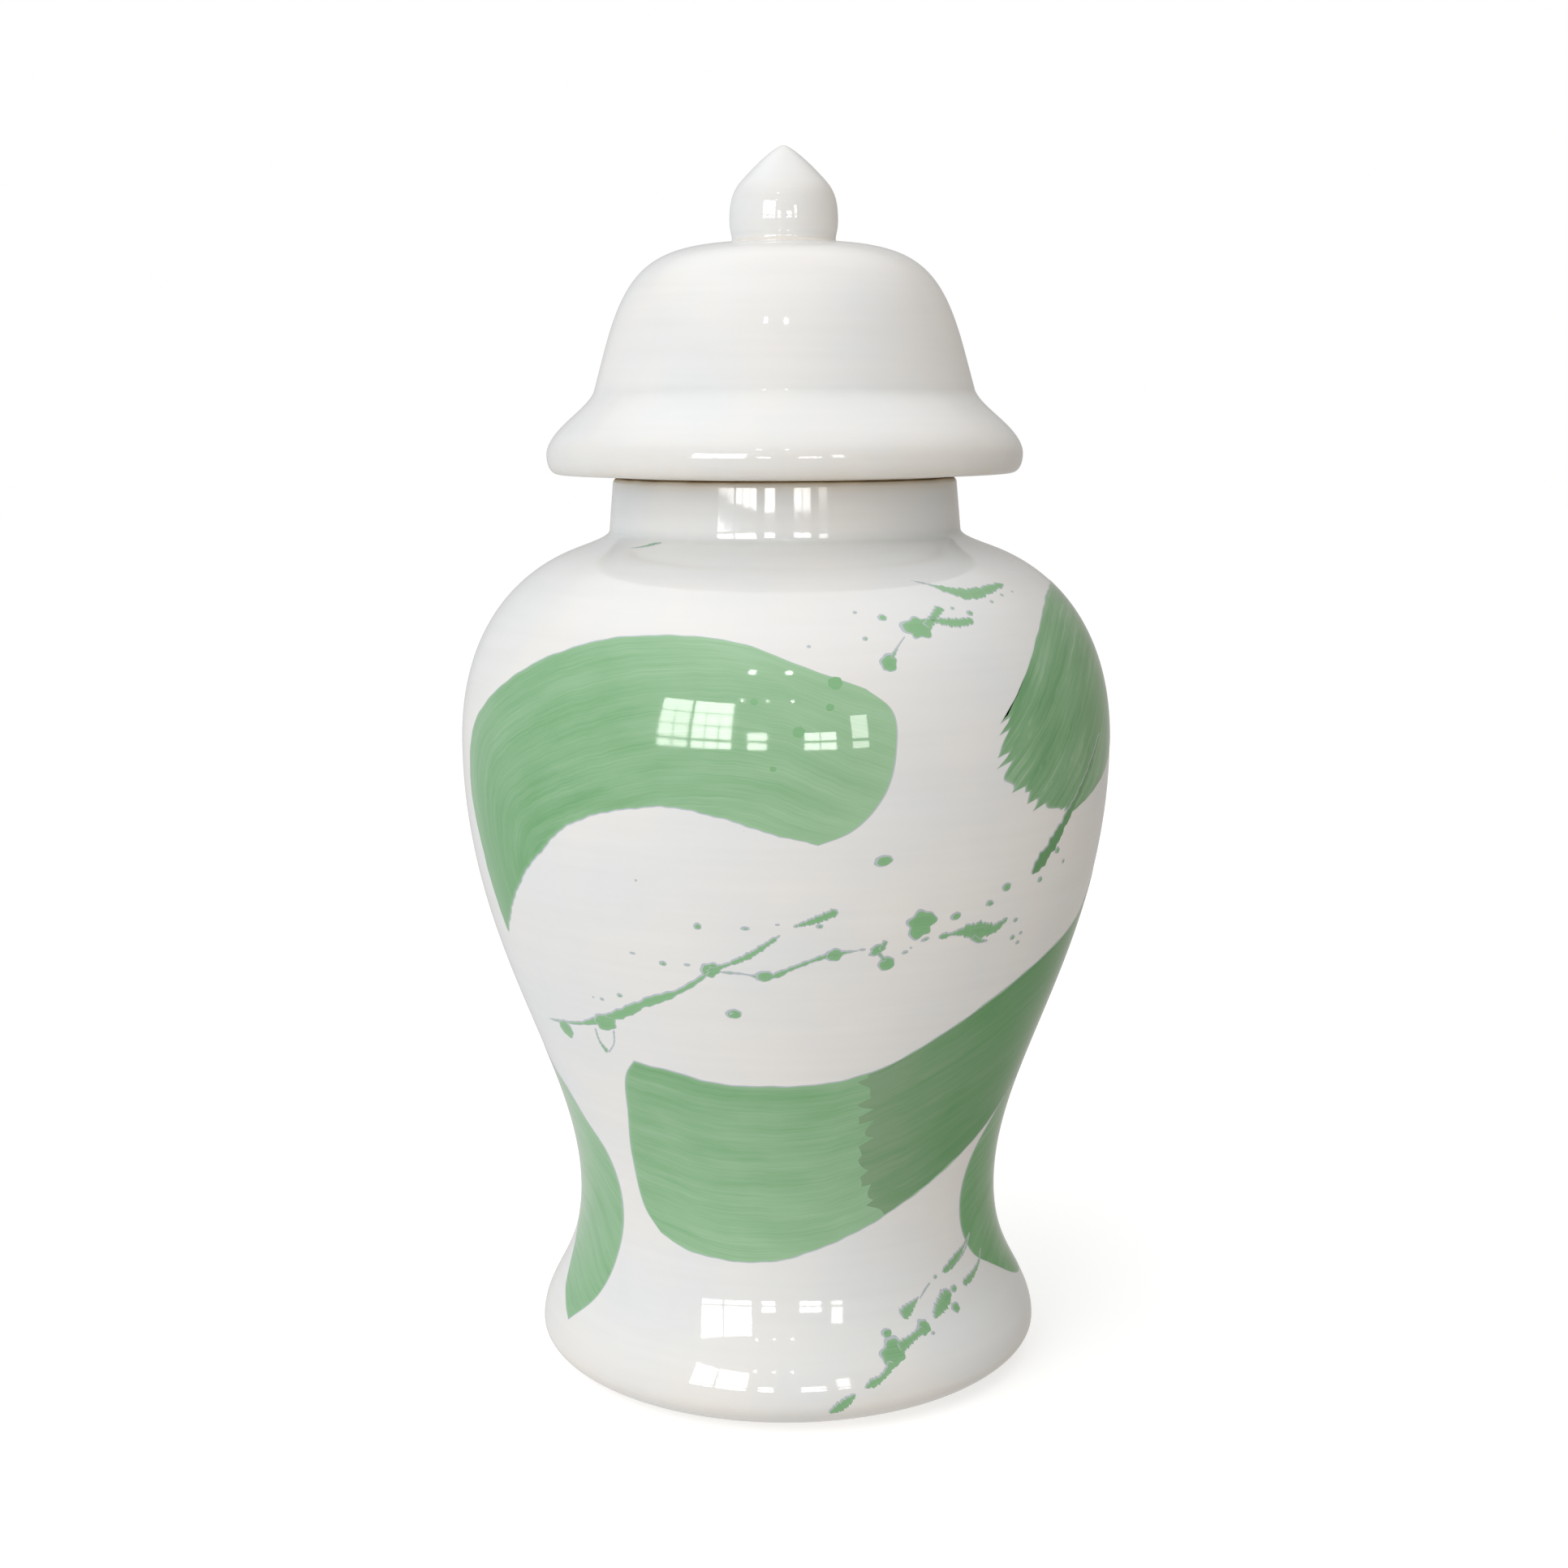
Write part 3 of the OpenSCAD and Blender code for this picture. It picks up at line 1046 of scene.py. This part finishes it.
@dataclass
class Trail:
    """A flung line of paint: a strip along a smooth line, of varying width, closed at both ends."""

    line: Places
    widths: tuple[float, ...]
    proud: float = 0.13
    creep: float = 0.3
    steps: int = 90
    tracks: int = 9

    def coat(self, wall: Wall, seed: int) -> Coat:
        """The trail as a coat.

        Its half width is read off the widths, spaced evenly along it, times a seeded waver, and
        falls to nothing at each end as the square root of the distance from it.

        Args:
            wall: the wall that it lies on.
            seed: which waver it has.

        Returns:
            The coat.
        """
        share = crowded(self.steps)
        middle = Line(self.line).at(share)
        flat = wall.flat(middle)
        run = np.gradient(flat, axis=0)
        side = np.stack([-run[:, 1], run[:, 0]], axis=1)
        side /= np.maximum(np.linalg.norm(side, axis=1, keepdims=True), 1e-9)
        half = 0.5 * np.interp(share, np.linspace(0, 1, len(self.widths)), self.widths)
        half *= 1.0 + 0.22 * waver(share, seed, (6, 11, 19))
        half *= np.sqrt(np.clip(np.minimum(share, 1 - share) * 14, 0.0004, 1.0))
        track = np.linspace(-1.0, 1.0, self.tracks)
        offset = (half[:, None] * track)[..., None] * side[:, None, :]
        per_degree = math.radians(1.0) * wall.radius(middle[:, 1])
        scale = np.stack([per_degree, np.ones_like(per_degree)], axis=-1)[:, None, :]
        places = middle[:, None, :] + offset / scale
        length = np.linalg.norm(np.diff(flat, axis=0), axis=1).sum()
        rim = half[:, None] * (1 - np.abs(track))
        rim = np.minimum(rim, (np.minimum(share, 1 - share) * length)[:, None])
        wash = rim - self.creep * (side @ np.array(CREEP))[:, None] * track
        along = (share * length)[:, None] + SPLASH_STREAKS * seed
        brush = np.stack(np.broadcast_arrays(along, half[:, None] * track), axis=-1)
        return Coat(places, rim, wash, brush, np.full(rim.shape, SPLASH_TONE), self.proud)


@dataclass
class Painting:
    """The strokes and the splashed paint on the jar."""

    wall: Wall
    drip_seed: int = 77

    def strokes(self) -> list[tuple[Stroke, str]]:
        """Each broad stroke, with the paint that it takes."""
        sweep = Stroke(
            "low_sweep",
            upper=((-33, 153), (-24, 151), (-14, 147.5), (0, 147.5), (11, 149), (22, 155), (31, 164),
                   (41, 174), (52, 184), (63, 192), (72, 198), (82, 212), (96, 228), (112, 236)),
            lower=((-35, 80), (-28, 76), (-16, 73.5), (-1, 75), (13, 81), (28, 90), (43, 101), (57, 112),
                   (68, 124), (84, 142), (102, 166), (116, 196)),
            start=((-33, 153), (-36, 147), (-39.5, 128), (-42, 108), (-40, 88), (-35, 80)),
            end=((112, 236), (119, 228), (121, 212), (116, 196)),
            seed=3, tone=(0.08, -0.4), across=-0.3,
        )
        second = Stroke(
            "low_sweep_second_coat", sweep.upper, sweep.lower, sweep.start, sweep.end,
            seed=4, tone=(-1.5, 1.5), darkest=0.22, from_share=(0.305, 0.345), step_teeth=5,
            step_ragged=0.024, proud=0.14, trim=0.012, fringed=False,
        )
        shoulder = Stroke(
            "shoulder_sweep",
            upper=((-64, 195), (-67, 223), (-70, 254), (-67, 272), (-59, 285), (-47, 299), (-36, 307),
                   (-21, 311), (-9, 309), (3, 300), (13, 292)),
            lower=((-63, 194.5), (-54, 214), (-46, 229), (-37, 243), (-29, 249), (-20, 252), (-11, 249.5),
                   (-3, 244.5), (5, 240)),
            start=((-64, 195), (-63.4, 194), (-63, 194.5)),
            end=((13, 292), (17, 285), (17.5, 270), (15.5, 256), (10, 244), (5, 240)),
            seed=1, tone=(0.65, -0.35), across=0.1,
        )
        right = Stroke(
            "right_sweep",
            upper=((166, 262), (150, 292), (130, 312), (105, 322), (84, 325), (68, 322), (58, 314),
                   (49, 301), (43, 289), (39, 280)),
            lower=((172, 224), (152, 246), (126, 262), (102, 268), (84, 262), (70, 250), (58, 243)),
            start=((166, 262), (172, 252), (175, 238), (172, 224)),
            end=((39, 280), (38.5, 270), (40, 260), (44, 251), (50, 246), (58, 243)),
            seed=7, tone=(0.35, 0.05), teeth=10, teeth_push=(-5.0, -4.5),
        )
        waist = Stroke(
            "back_waist_sweep",
            upper=((69, 125), (80, 134), (100, 141), (140, 138), (180, 128), (220, 128), (255, 138),
                   (280, 139), (295, 128)),
            lower=((66, 55), (84, 40), (102, 36), (130, 46), (170, 60), (215, 66), (250, 73), (268, 71),
                   (279, 57), (286, 44), (297, 34)),
            start=((69, 125), (61, 115), (54.5, 102), (52, 88), (53, 75), (57, 64), (66, 55)),
            end=((295, 128), (301, 117), (308, 106), (311, 94), (311.5, 80), (309.5, 66), (305, 48),
                 (297, 34)),
            seed=9, tone=(0.4, 0.0), grid=(230, 97),
        )
        back = Stroke(
            "back_belly_sweep",
            upper=((196, 232), (204, 262), (222, 284), (242, 291), (258, 283), (267, 270)),
            lower=((203, 213), (214, 228), (227, 239), (241, 240), (254, 231)),
            start=((196, 232), (195, 221), (203, 213)),
            end=((267, 270), (270, 256), (264, 240), (254, 231)),
            seed=12, tone=(0.1, -0.1), teeth=8, teeth_push=(2.0, -2.0), grid=(130, 81),
        )
        return [(shoulder, "fresh"), (sweep, "fresh"), (second, "second"), (right, "dry"),
                (waist, "fresh"), (back, "dry")]

    def splashes(self) -> dict[str, list[Drop | Trail]]:
        """The splashed paint, by where it lies."""
        return {
            "shoulder_splash": [
                Trail(((27.5, 334.5), (31, 332), (35, 328.5), (39, 326), (44, 326.5), (48.5, 328),
                       (53, 329)),
                      (0.6, 1.4, 4.6, 6.4, 5.0, 3.8, 2.6)),
                Drop(44.5, 321.5, 1.0), Drop(49, 324, 1.0), Drop(53.5, 325, 0.7),
                Drop(24.5, 312.8, 6.0, 4.4, 12, 0.3),
                Trail(((26, 313), (28.5, 317), (31, 321)), (4.4, 3.2, 4.0)),
                Trail(((27, 316), (33, 314), (37, 314.5)), (2.2, 4.2, 3.4)), Drop(37, 317.5, 1.6, 1.3),
                Drop(33.5, 320, 1.0), Drop(17.5, 300.5, 3.0, 3.6, -15, 0.16),
                Trail(((18, 302), (20, 307), (21.5, 310)), (2.2, 0.9, 0.6)), Drop(18, 317.5, 1.8),
                Drop(13, 320, 0.9), Drop(14, 309.5, 1.1), Drop(4, 307, 0.8),
                Trail(((-50, 356.4), (-46, 358), (-43, 360), (-40, 361.3)),
                      (0.5, 1.6, 2.6, 1.0), creep=0.1),
            ],
            "belly_splash": [
                Trail(((-59, 160.5), (-53, 162), (-44, 165), (-38, 169), (-32.4, 173.3), (-27, 178.8),
                       (-19.5, 185.2), (-16, 189.7), (-13, 194.5)),
                      (0.6, 1.8, 1.6, 3.6, 4.4, 4.2, 3.8, 2.2, 2.6)),
                Trail(((-14, 194), (-9.4, 197.6), (-6.3, 200.7), (-3.3, 205), (-1, 208.5)),
                      (3.0, 1.8, 2.8, 2.4, 1.6)),
                Drop(-51.6, 159.5, 4.4, 3.8, 0, 0.14), Drop(-38, 167.6, 5.4, 3.8, 8, 0.2),
                Trail(((-41.2, 164), (-41, 158), (-39.6, 154)), (1.2, 1.4, 3.0)),
                Trail(((-36, 165), (-37, 159), (-39.4, 154)), (1.2, 0.8, 0.8)),
                Drop(-13.2, 194.5, 3.9, 3.0, 10, 0.18),
                Trail(((-12, 194), (-8, 193.6), (-3, 192.5), (1, 196), (8, 201), (12.5, 202)),
                      (1.6, 0.9, 2.6, 1.8, 2.4, 0.8)),
                Drop(-3.8, 192.8, 3.6, 2.2, 8, 0.12), Drop(8, 200.8, 3.3, 2.5, 10, 0.14),
                Drop(12.8, 202.2, 1.4, 0.6), Drop(15.3, 201.6, 3.0, 2.2, 30, 0.25),
                Trail(((15.8, 201.5), (16.4, 203.2), (16.8, 205.2)), (2.6, 2.2, 2.2)),
                Trail(((15.5, 201), (16.5, 198.5), (17, 197)), (2.0, 1.6, 2.4)),
                Drop(17.3, 196.3, 3.1, 3.0, 0, 0.08), Drop(20.5, 200, 1.4, 0.8, 15),
                Drop(21.5, 201.5, 0.6), Drop(24, 204.2, 1.8, 0.9, 15), Drop(23, 209.9, 5.8, 5.0, 20, 0.3),
                Drop(29.4, 211.6, 2.4, 1.6, 10, 0.06),
                Trail(((26.5, 204.4), (29, 205), (32, 205.4), (35, 205.4), (38.3, 204.4), (40.5, 206.8)),
                      (3.4, 1.6, 5.4, 6.0, 4.6, 2.4)),
                Drop(34.6, 204, 4.8, 3.2, 0, 0.26),
                Trail(((33.6, 203), (35, 201), (37.4, 200)), (3.0, 2.4, 0.8)),
                Drop(40.4, 206.6, 2.0, 1.3, 25), Drop(43.4, 206, 1.4, 1.0), Drop(43.6, 199.2, 1.4, 1.2),
                Drop(45.7, 200.2, 1.1, 0.8), Drop(45.4, 196.6, 1.2, 0.9),
                Drop(36.3, 214.6, 1.9, 1.3, 0, 0.2), Drop(39.6, 219.6, 2.2, 1.8, 0, 0.1),
                Drop(48.2, 219.6, 1.5), Drop(52.3, 229, 1.8, 1.4), Drop(55, 224, 1.1),
                Drop(15.5, 234, 3.5, 2.1, 12, 0.08),
                Trail(((1, 211.5), (4.5, 213.7), (8.4, 217)), (1.2, 3.2, 3.4)),
                Drop(5.4, 211.6, 1.4, 1.0), Drop(-1.5, 212.3, 1.0, 0.5), Drop(-6.8, 210.8, 1.7, 0.9),
                Drop(-14.8, 211, 1.6, 1.4), Drop(-27.5, 198.5, 1.4, 0.6), Drop(-21.8, 195.8, 1.6, 1.1),
                Drop(-17.3, 196, 1.4, 0.7), Drop(-9.7, 177.4, 3.0, 2.1, 0, 0.08),
                Drop(-10, 177.5, 1.4, 0.9, 0, 0.1, 0.15, creep=1.2), Drop(-32.2, 180.5, 1.4, 1.0),
                Drop(-36.8, 177.5, 1.1, 0.8), Drop(-39, 177.5, 0.6), Drop(-25, 226, 0.6),
            ],
            "foot_splash": [
                Trail(((43.6, 61.8), (46.5, 62.8), (49.6, 64.8), (53, 67), (57.5, 71.5)),
                      (2.2, 4.0, 3.4, 1.4, 1.4), creep=0.5),
                Trail(((46, 62), (50.5, 63.6), (54, 65.8), (57.5, 71)), (2.0, 1.5, 1.2, 1.6)),
                Drop(41, 61, 1.1), Trail(((34.8, 55), (37.3, 58), (39, 59.6)), (0.6, 1.2, 1.0)),
                Trail(((28.6, 50.6), (30.4, 52.2), (32, 53.6), (34.8, 56)),
                      (5.0, 5.0, 2.6, 0.5), creep=0.7),
                Trail(((50.4, 54.5), (53.4, 55.2), (57.2, 57), (60, 59), (62.6, 63)),
                      (3.0, 3.4, 2.4, 1.6, 1.8), creep=0.5),
                Drop(46.6, 54.4, 1.9, 1.6), Drop(45.3, 47.9, 2.3, 2.2, 0, 0.18), Drop(42, 55.5, 0.7),
                Trail(((37.8, 46.6), (39.2, 48.8), (41.4, 51), (43.8, 53.2), (45.4, 53.6)),
                      (1.8, 5.0, 6.4, 6.6, 3.0), creep=0.7),
                Drop(34, 45, 3.3, 3.0, 0, 0.2, creep=0.8), Drop(36.2, 42, 1.0),
                Trail(((26, 39.8), (29.7, 42), (34, 44.8)), (5.4, 3.4, 3.2)),
                Drop(24.6, 39.2, 5.0, 5.4, -25, 0.24, creep=0.9),
                Drop(23.8, 45.9, 2.2, 1.9, 0, 0.1, creep=0.8),
                Trail(((16.6, 28.2), (18, 29.2), (20.2, 30.5), (22.4, 33), (24, 36)),
                      (1.2, 4.0, 2.6, 3.0, 4.6), creep=0.6),
                Trail(((8.6, 20.4), (10.4, 21.9), (12.2, 23.8), (14.6, 26.6)),
                      (1.8, 4.4, 4.0, 1.2), creep=0.6),
            ],
            "back_splash": [
                Trail(((140, 178), (160, 184), (185, 183), (206, 190), (226, 187), (240, 192)),
                      (0.8, 2.6, 1.4, 3.4, 1.8, 2.8, 1.0)),
                Drop(159, 186, 3.4, 2.6, 15, 0.2), Drop(206, 191, 3.8, 3.0, 0, 0.2), Drop(232, 186, 2.2),
                Drop(247, 196, 1.4), Drop(214, 198, 1.4), Drop(178, 192, 1.6), Drop(170, 176, 1.1),
                Drop(149, 171, 1.3), Drop(254, 190, 1.0), Drop(228, 312, 4.2, 3.2, 20, 0.25),
                Trail(((214, 318), (226, 313), (238, 315), (246, 322)), (0.8, 2.6, 3.4, 0.8)),
                Drop(208, 321, 1.4), Drop(252, 318, 1.2), Drop(220, 305, 1.2), Drop(135, 215, 1.5),
                Drop(128, 203, 1.0),
            ],
            "shoulder_drops": [
                Drop(x, y, r, fringed=False)
                for x, y, r in ((8, 294, 2.8), (-5, 288, 1.6), (2, 278, 2.4), (7, 286, 1.7), (-2, 266, 1.4))
            ],
        }

    def drip(self) -> Trail:
        """The run of paint below the right-hand sweep."""
        return Trail(
            ((68, 268), (64, 260), (59, 250), (54.5, 241), (50.5, 232), (45.5, 222.5)),
            (1.2, 3.0, 3.4, 4.6, 6.4, 6.0), proud=0.15,
        )

    def build(self, paints: dict[str, Material]) -> list[Piece]:
        """Makes every coat and rides it on the jar.

        Args:
            paints: the materials by the paint's name.

        Returns:
            The pieces.
        """
        made = []
        for stroke, paint in self.strokes():
            made.append(stroke.coat(self.wall).shell(self.wall).object(stroke.name, [paints[paint]]))
        drip = self.drip().coat(self.wall, self.drip_seed).shell(self.wall)
        made.append(drip.object("right_sweep_drip", [paints["second"]]))
        for number, (name, marks) in enumerate(self.splashes().items()):
            shells = [m.coat(self.wall, 100 * number + k).shell(self.wall) for k, m in enumerate(marks)]
            paint = paints["fresh" if name == "foot_splash" else "splash"]
            made.append(Shell.joined(shells).object(name, [paint]))
        for piece in made:
            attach(piece, "jar")
        return made


# ---------------------------------------------------------------- the studio


@dataclass
class Lamp:
    """A flat light that faces the pot from an azimuth and a climb, in degrees."""

    name: str
    azimuth: float
    climb: float
    wide: float
    tall: float
    glow: float
    diffuse: bool = True
    glossy: bool = True

    def hang(self, distance: float, focus: Vector) -> None:
        """Hangs the lamp.

        Args:
            distance: from the focus to the lamp, in metres.
            focus: where the lamp faces.
        """
        azimuth, climb = math.radians(self.azimuth), math.radians(self.climb)
        level = math.cos(climb)
        way = Vector((math.sin(azimuth) * level, -math.cos(azimuth) * level, math.sin(climb)))
        light = bpy.data.lights.new(self.name, "AREA")
        light.shape = "RECTANGLE"
        light.size, light.size_y = self.wide, self.tall
        light.energy = self.glow * math.pi * self.wide * self.tall
        light.color = (1.0, 0.99, 0.97)
        holder = bpy.data.objects.new(self.name, light)
        holder.location = focus + way * distance
        holder.rotation_euler = (-way).to_track_quat("-Z", "Y").to_euler()
        holder.visible_camera = False
        holder.visible_diffuse = self.diffuse
        holder.visible_glossy = self.glossy
        bpy.context.scene.collection.objects.link(holder)


@dataclass
class Pane:
    """A window of several panes as the glaze mirrors it: a block of small lights.

    Its sides are an azimuth and a climb each, in degrees, and the bars between the panes take what
    the clear shares leave.
    """

    west: float
    east: float
    low: float
    high: float
    columns: int
    rows: int
    glow: float
    clear_wide: float = 0.92
    clear_tall: float = 0.94

    def build(self, distance: float, focus: Vector) -> None:
        """Hangs the panes at a distance from the focus, each facing it.

        Args:
            distance: from the focus to each pane, in metres.
            focus: where the panes face.
        """
        side = (self.east - self.west) / self.columns
        rise = (self.high - self.low) / self.rows
        for column in range(self.columns):
            for row in range(self.rows):
                Lamp(
                    "window_pane", self.west + side * (column + 0.5), self.low + rise * (row + 0.5),
                    distance * math.radians(side) * self.clear_wide,
                    distance * math.radians(rise) * self.clear_tall,
                    self.glow, diffuse=False,
                ).hang(distance, focus)


@dataclass
class Studio:
    """Pale floor, bright room, two soft lamps, mirrored windows and the camera.

    The floor is seen by the camera alone, and the lower half of the room lights the pot in its
    place. Upwards, the room grows brighter: up to zenith as a light and up to ceiling in the glaze.
    """

    camera_place: tuple[float, float, float] = (0.0, -0.850, 0.362)
    lens: float = 51.73
    sensor: float = 36.0
    dip: float = 9.449
    roll: float = -0.23
    yaw: float = 0.05
    floor_size: float = 14.0
    floor_glow: float = 0.35
    floor_drop: float = 0.2 * MM
    focus_height: float = 0.3
    window_distance: float = 6.0
    zenith: float = 1.23
    key: Lamp = field(default_factory=lambda: Lamp("soft_key", -36, 24, 1.6, 1.6, 1.9, glossy=False))
    fill: Lamp = field(default_factory=lambda: Lamp("low_fill", 26, 5, 2.2, 1.6, 0.75, glossy=False))
    key_distance: float = 2.4
    ceiling: float = 2.6
    windows: tuple[Pane, ...] = (
        Pane(-44, -33, 4, 6.8, 2, 1, 13.0),
        Pane(-44, -33, 7.6, 24, 2, 3, 13.0),
        Pane(-32, -18, 4, 6.8, 3, 1, 15.0),
        Pane(-32, -18, 7.6, 24, 3, 3, 15.0),
        Pane(-13, -6, 4, 6.8, 1, 1, 15.0),
        Pane(-13, -6, 7.6, 11, 1, 1, 15.0),
        Pane(6, 17, 4, 6.8, 2, 1, 14.0),
        Pane(6, 17, 7.6, 11, 2, 1, 14.0),
        Pane(22, 28, 4, 6.8, 1, 1, 9.0),
        Pane(22, 28, 7.6, 18, 1, 1, 9.0),
        Pane(-14.5, -12.5, 39.5, 41.5, 1, 1, 40.0),
        Pane(0.5, 2.5, 39.5, 41.5, 1, 1, 40.0),
        Pane(-16, -14.9, 25, 26, 1, 1, 30.0),
        Pane(-7, -6, 25, 26, 1, 1, 25.0),
        Pane(2, 3, 25, 26, 1, 1, 30.0),
    )

    def camera(self) -> None:
        """Sets up the camera."""
        data = bpy.data.cameras.new("camera")
        data.lens, data.sensor_width = self.lens, self.sensor
        holder = bpy.data.objects.new("camera", data)
        holder.location = self.camera_place
        tilt = Matrix.Rotation(math.radians(90.0 - self.dip), 4, "X")
        turned = Matrix.Rotation(math.radians(self.yaw), 4, "Z") @ tilt
        holder.rotation_euler = (turned @ Matrix.Rotation(math.radians(self.roll), 4, "Z")).to_euler()
        bpy.context.scene.collection.objects.link(holder)
        bpy.context.scene.camera = holder

    def floor(self) -> None:
        """Lays the pale floor just under the foot."""
        half = self.floor_size / 2
        mesh = bpy.data.meshes.new("studio_floor")
        corners = [(-half, -half), (half, -half), (half, half), (-half, half)]
        mesh.from_pydata([(x, y, -self.floor_drop) for x, y in corners], [], [(0, 1, 2, 3)])
        material = bpy.data.materials.new("matt_white_board")
        tree = empty_tree(material)
        board = add(tree, "ShaderNodeBsdfDiffuse", {"Color": linear("F6F6F6")})
        glow = add(tree, "ShaderNodeEmission", {"Color": linear("FFFFFF"), "Strength": self.floor_glow})
        both = add(tree, "ShaderNodeAddShader", {0: board.outputs[0], 1: glow.outputs[0]})
        add(tree, "ShaderNodeOutputMaterial", {"Surface": both.outputs[0]})
        mesh.materials.append(material)
        made = bpy.data.objects.new("studio_floor", mesh)
        made.visible_glossy = made.visible_diffuse = made.visible_shadow = False
        bpy.context.scene.collection.objects.link(made)

    def room(self) -> None:
        """Lights the room: bright and neutral on the left and above, dimmer and warm on the right."""
        world = bpy.data.worlds.new("studio_room")
        bpy.context.scene.world = world
        tree = empty_tree(world)
        way = add(tree, "ShaderNodeTexCoord").outputs["Generated"]
        path = add(tree, "ShaderNodeLightPath")
        split = add(tree, "ShaderNodeSeparateXYZ", {0: way})
        side = remap(tree, split.outputs[0], -0.55, 0.75, 0.0, 1.0)
        walls = mix(tree, side, linear("DADBDC"), linear("968E85"))
        fall = remap(tree, split.outputs[2], -0.6, 0.0, 1.0, 0.0)
        walls = mix(tree, fall, walls, mix(tree, side, linear("EAEAE9"), linear("ACA69E")))
        rise = remap(tree, split.outputs[2], 0.1, 0.9, 0.0, 0.75)
        colour = mix(tree, rise, walls, linear("E8E9EA"))
        colour = mix(tree, path.outputs["Is Camera Ray"], colour, linear("FFFFFF"))
        strength = remap(tree, split.outputs[2], 0.35, 0.85, 1.0, self.zenith)
        mirrored = remap(tree, split.outputs[2], 0.5, 0.9, 1.0, self.ceiling)
        strength = mix(tree, path.outputs["Is Glossy Ray"], strength, mirrored)
        glow = add(tree, "ShaderNodeBackground", {"Color": colour, "Strength": strength})
        add(tree, "ShaderNodeOutputWorld", {"Surface": glow.outputs[0]})

    def build(self) -> None:
        """Builds the studio."""
        bpy.context.scene.view_settings.view_transform = "Standard"
        self.camera()
        self.floor()
        self.room()
        focus = Vector((0.0, 0.0, self.focus_height))
        self.key.hang(self.key_distance, focus)
        self.fill.hang(self.key_distance, focus)
        for window in self.windows:
            window.build(self.window_distance, focus)


def main() -> None:
    """Builds the pot, the painting and the studio."""
    glaze, clay = WhiteGlaze().material(), BareClay().material()
    paints = {
        "fresh": BrushedGreen("copper_green_stain", "A4CAA4", "8FBB90", "70A972").material(),
        "dry": BrushedGreen(
            "copper_green_dry_brush", "B4CFB3", "86B287", "669C69", bristle=0.9, contrast=0.36
        ).material(),
        "second": BrushedGreen("copper_green_second_coat", "86A783", "6A9D6B", "4F9655").material(),
        "splash": BrushedGreen(
            "copper_green_splash", "98C699", "89BC8A", "7AAE7C", contrast=0.2
        ).material(),
    }
    jar = Jar()
    pieces = [jar.build([glaze, clay])]
    pieces += Lid().build([glaze, clay])
    pieces += Painting(Wall(jar)).build(paints)
    for piece in pieces:
        LOG.info("%s: %d faces", piece.name, len(piece.data.polygons))
    Studio().build()
    bpy.context.view_layer.update()


if __name__ == "__main__":
    logging.basicConfig(level=logging.INFO)
    main()
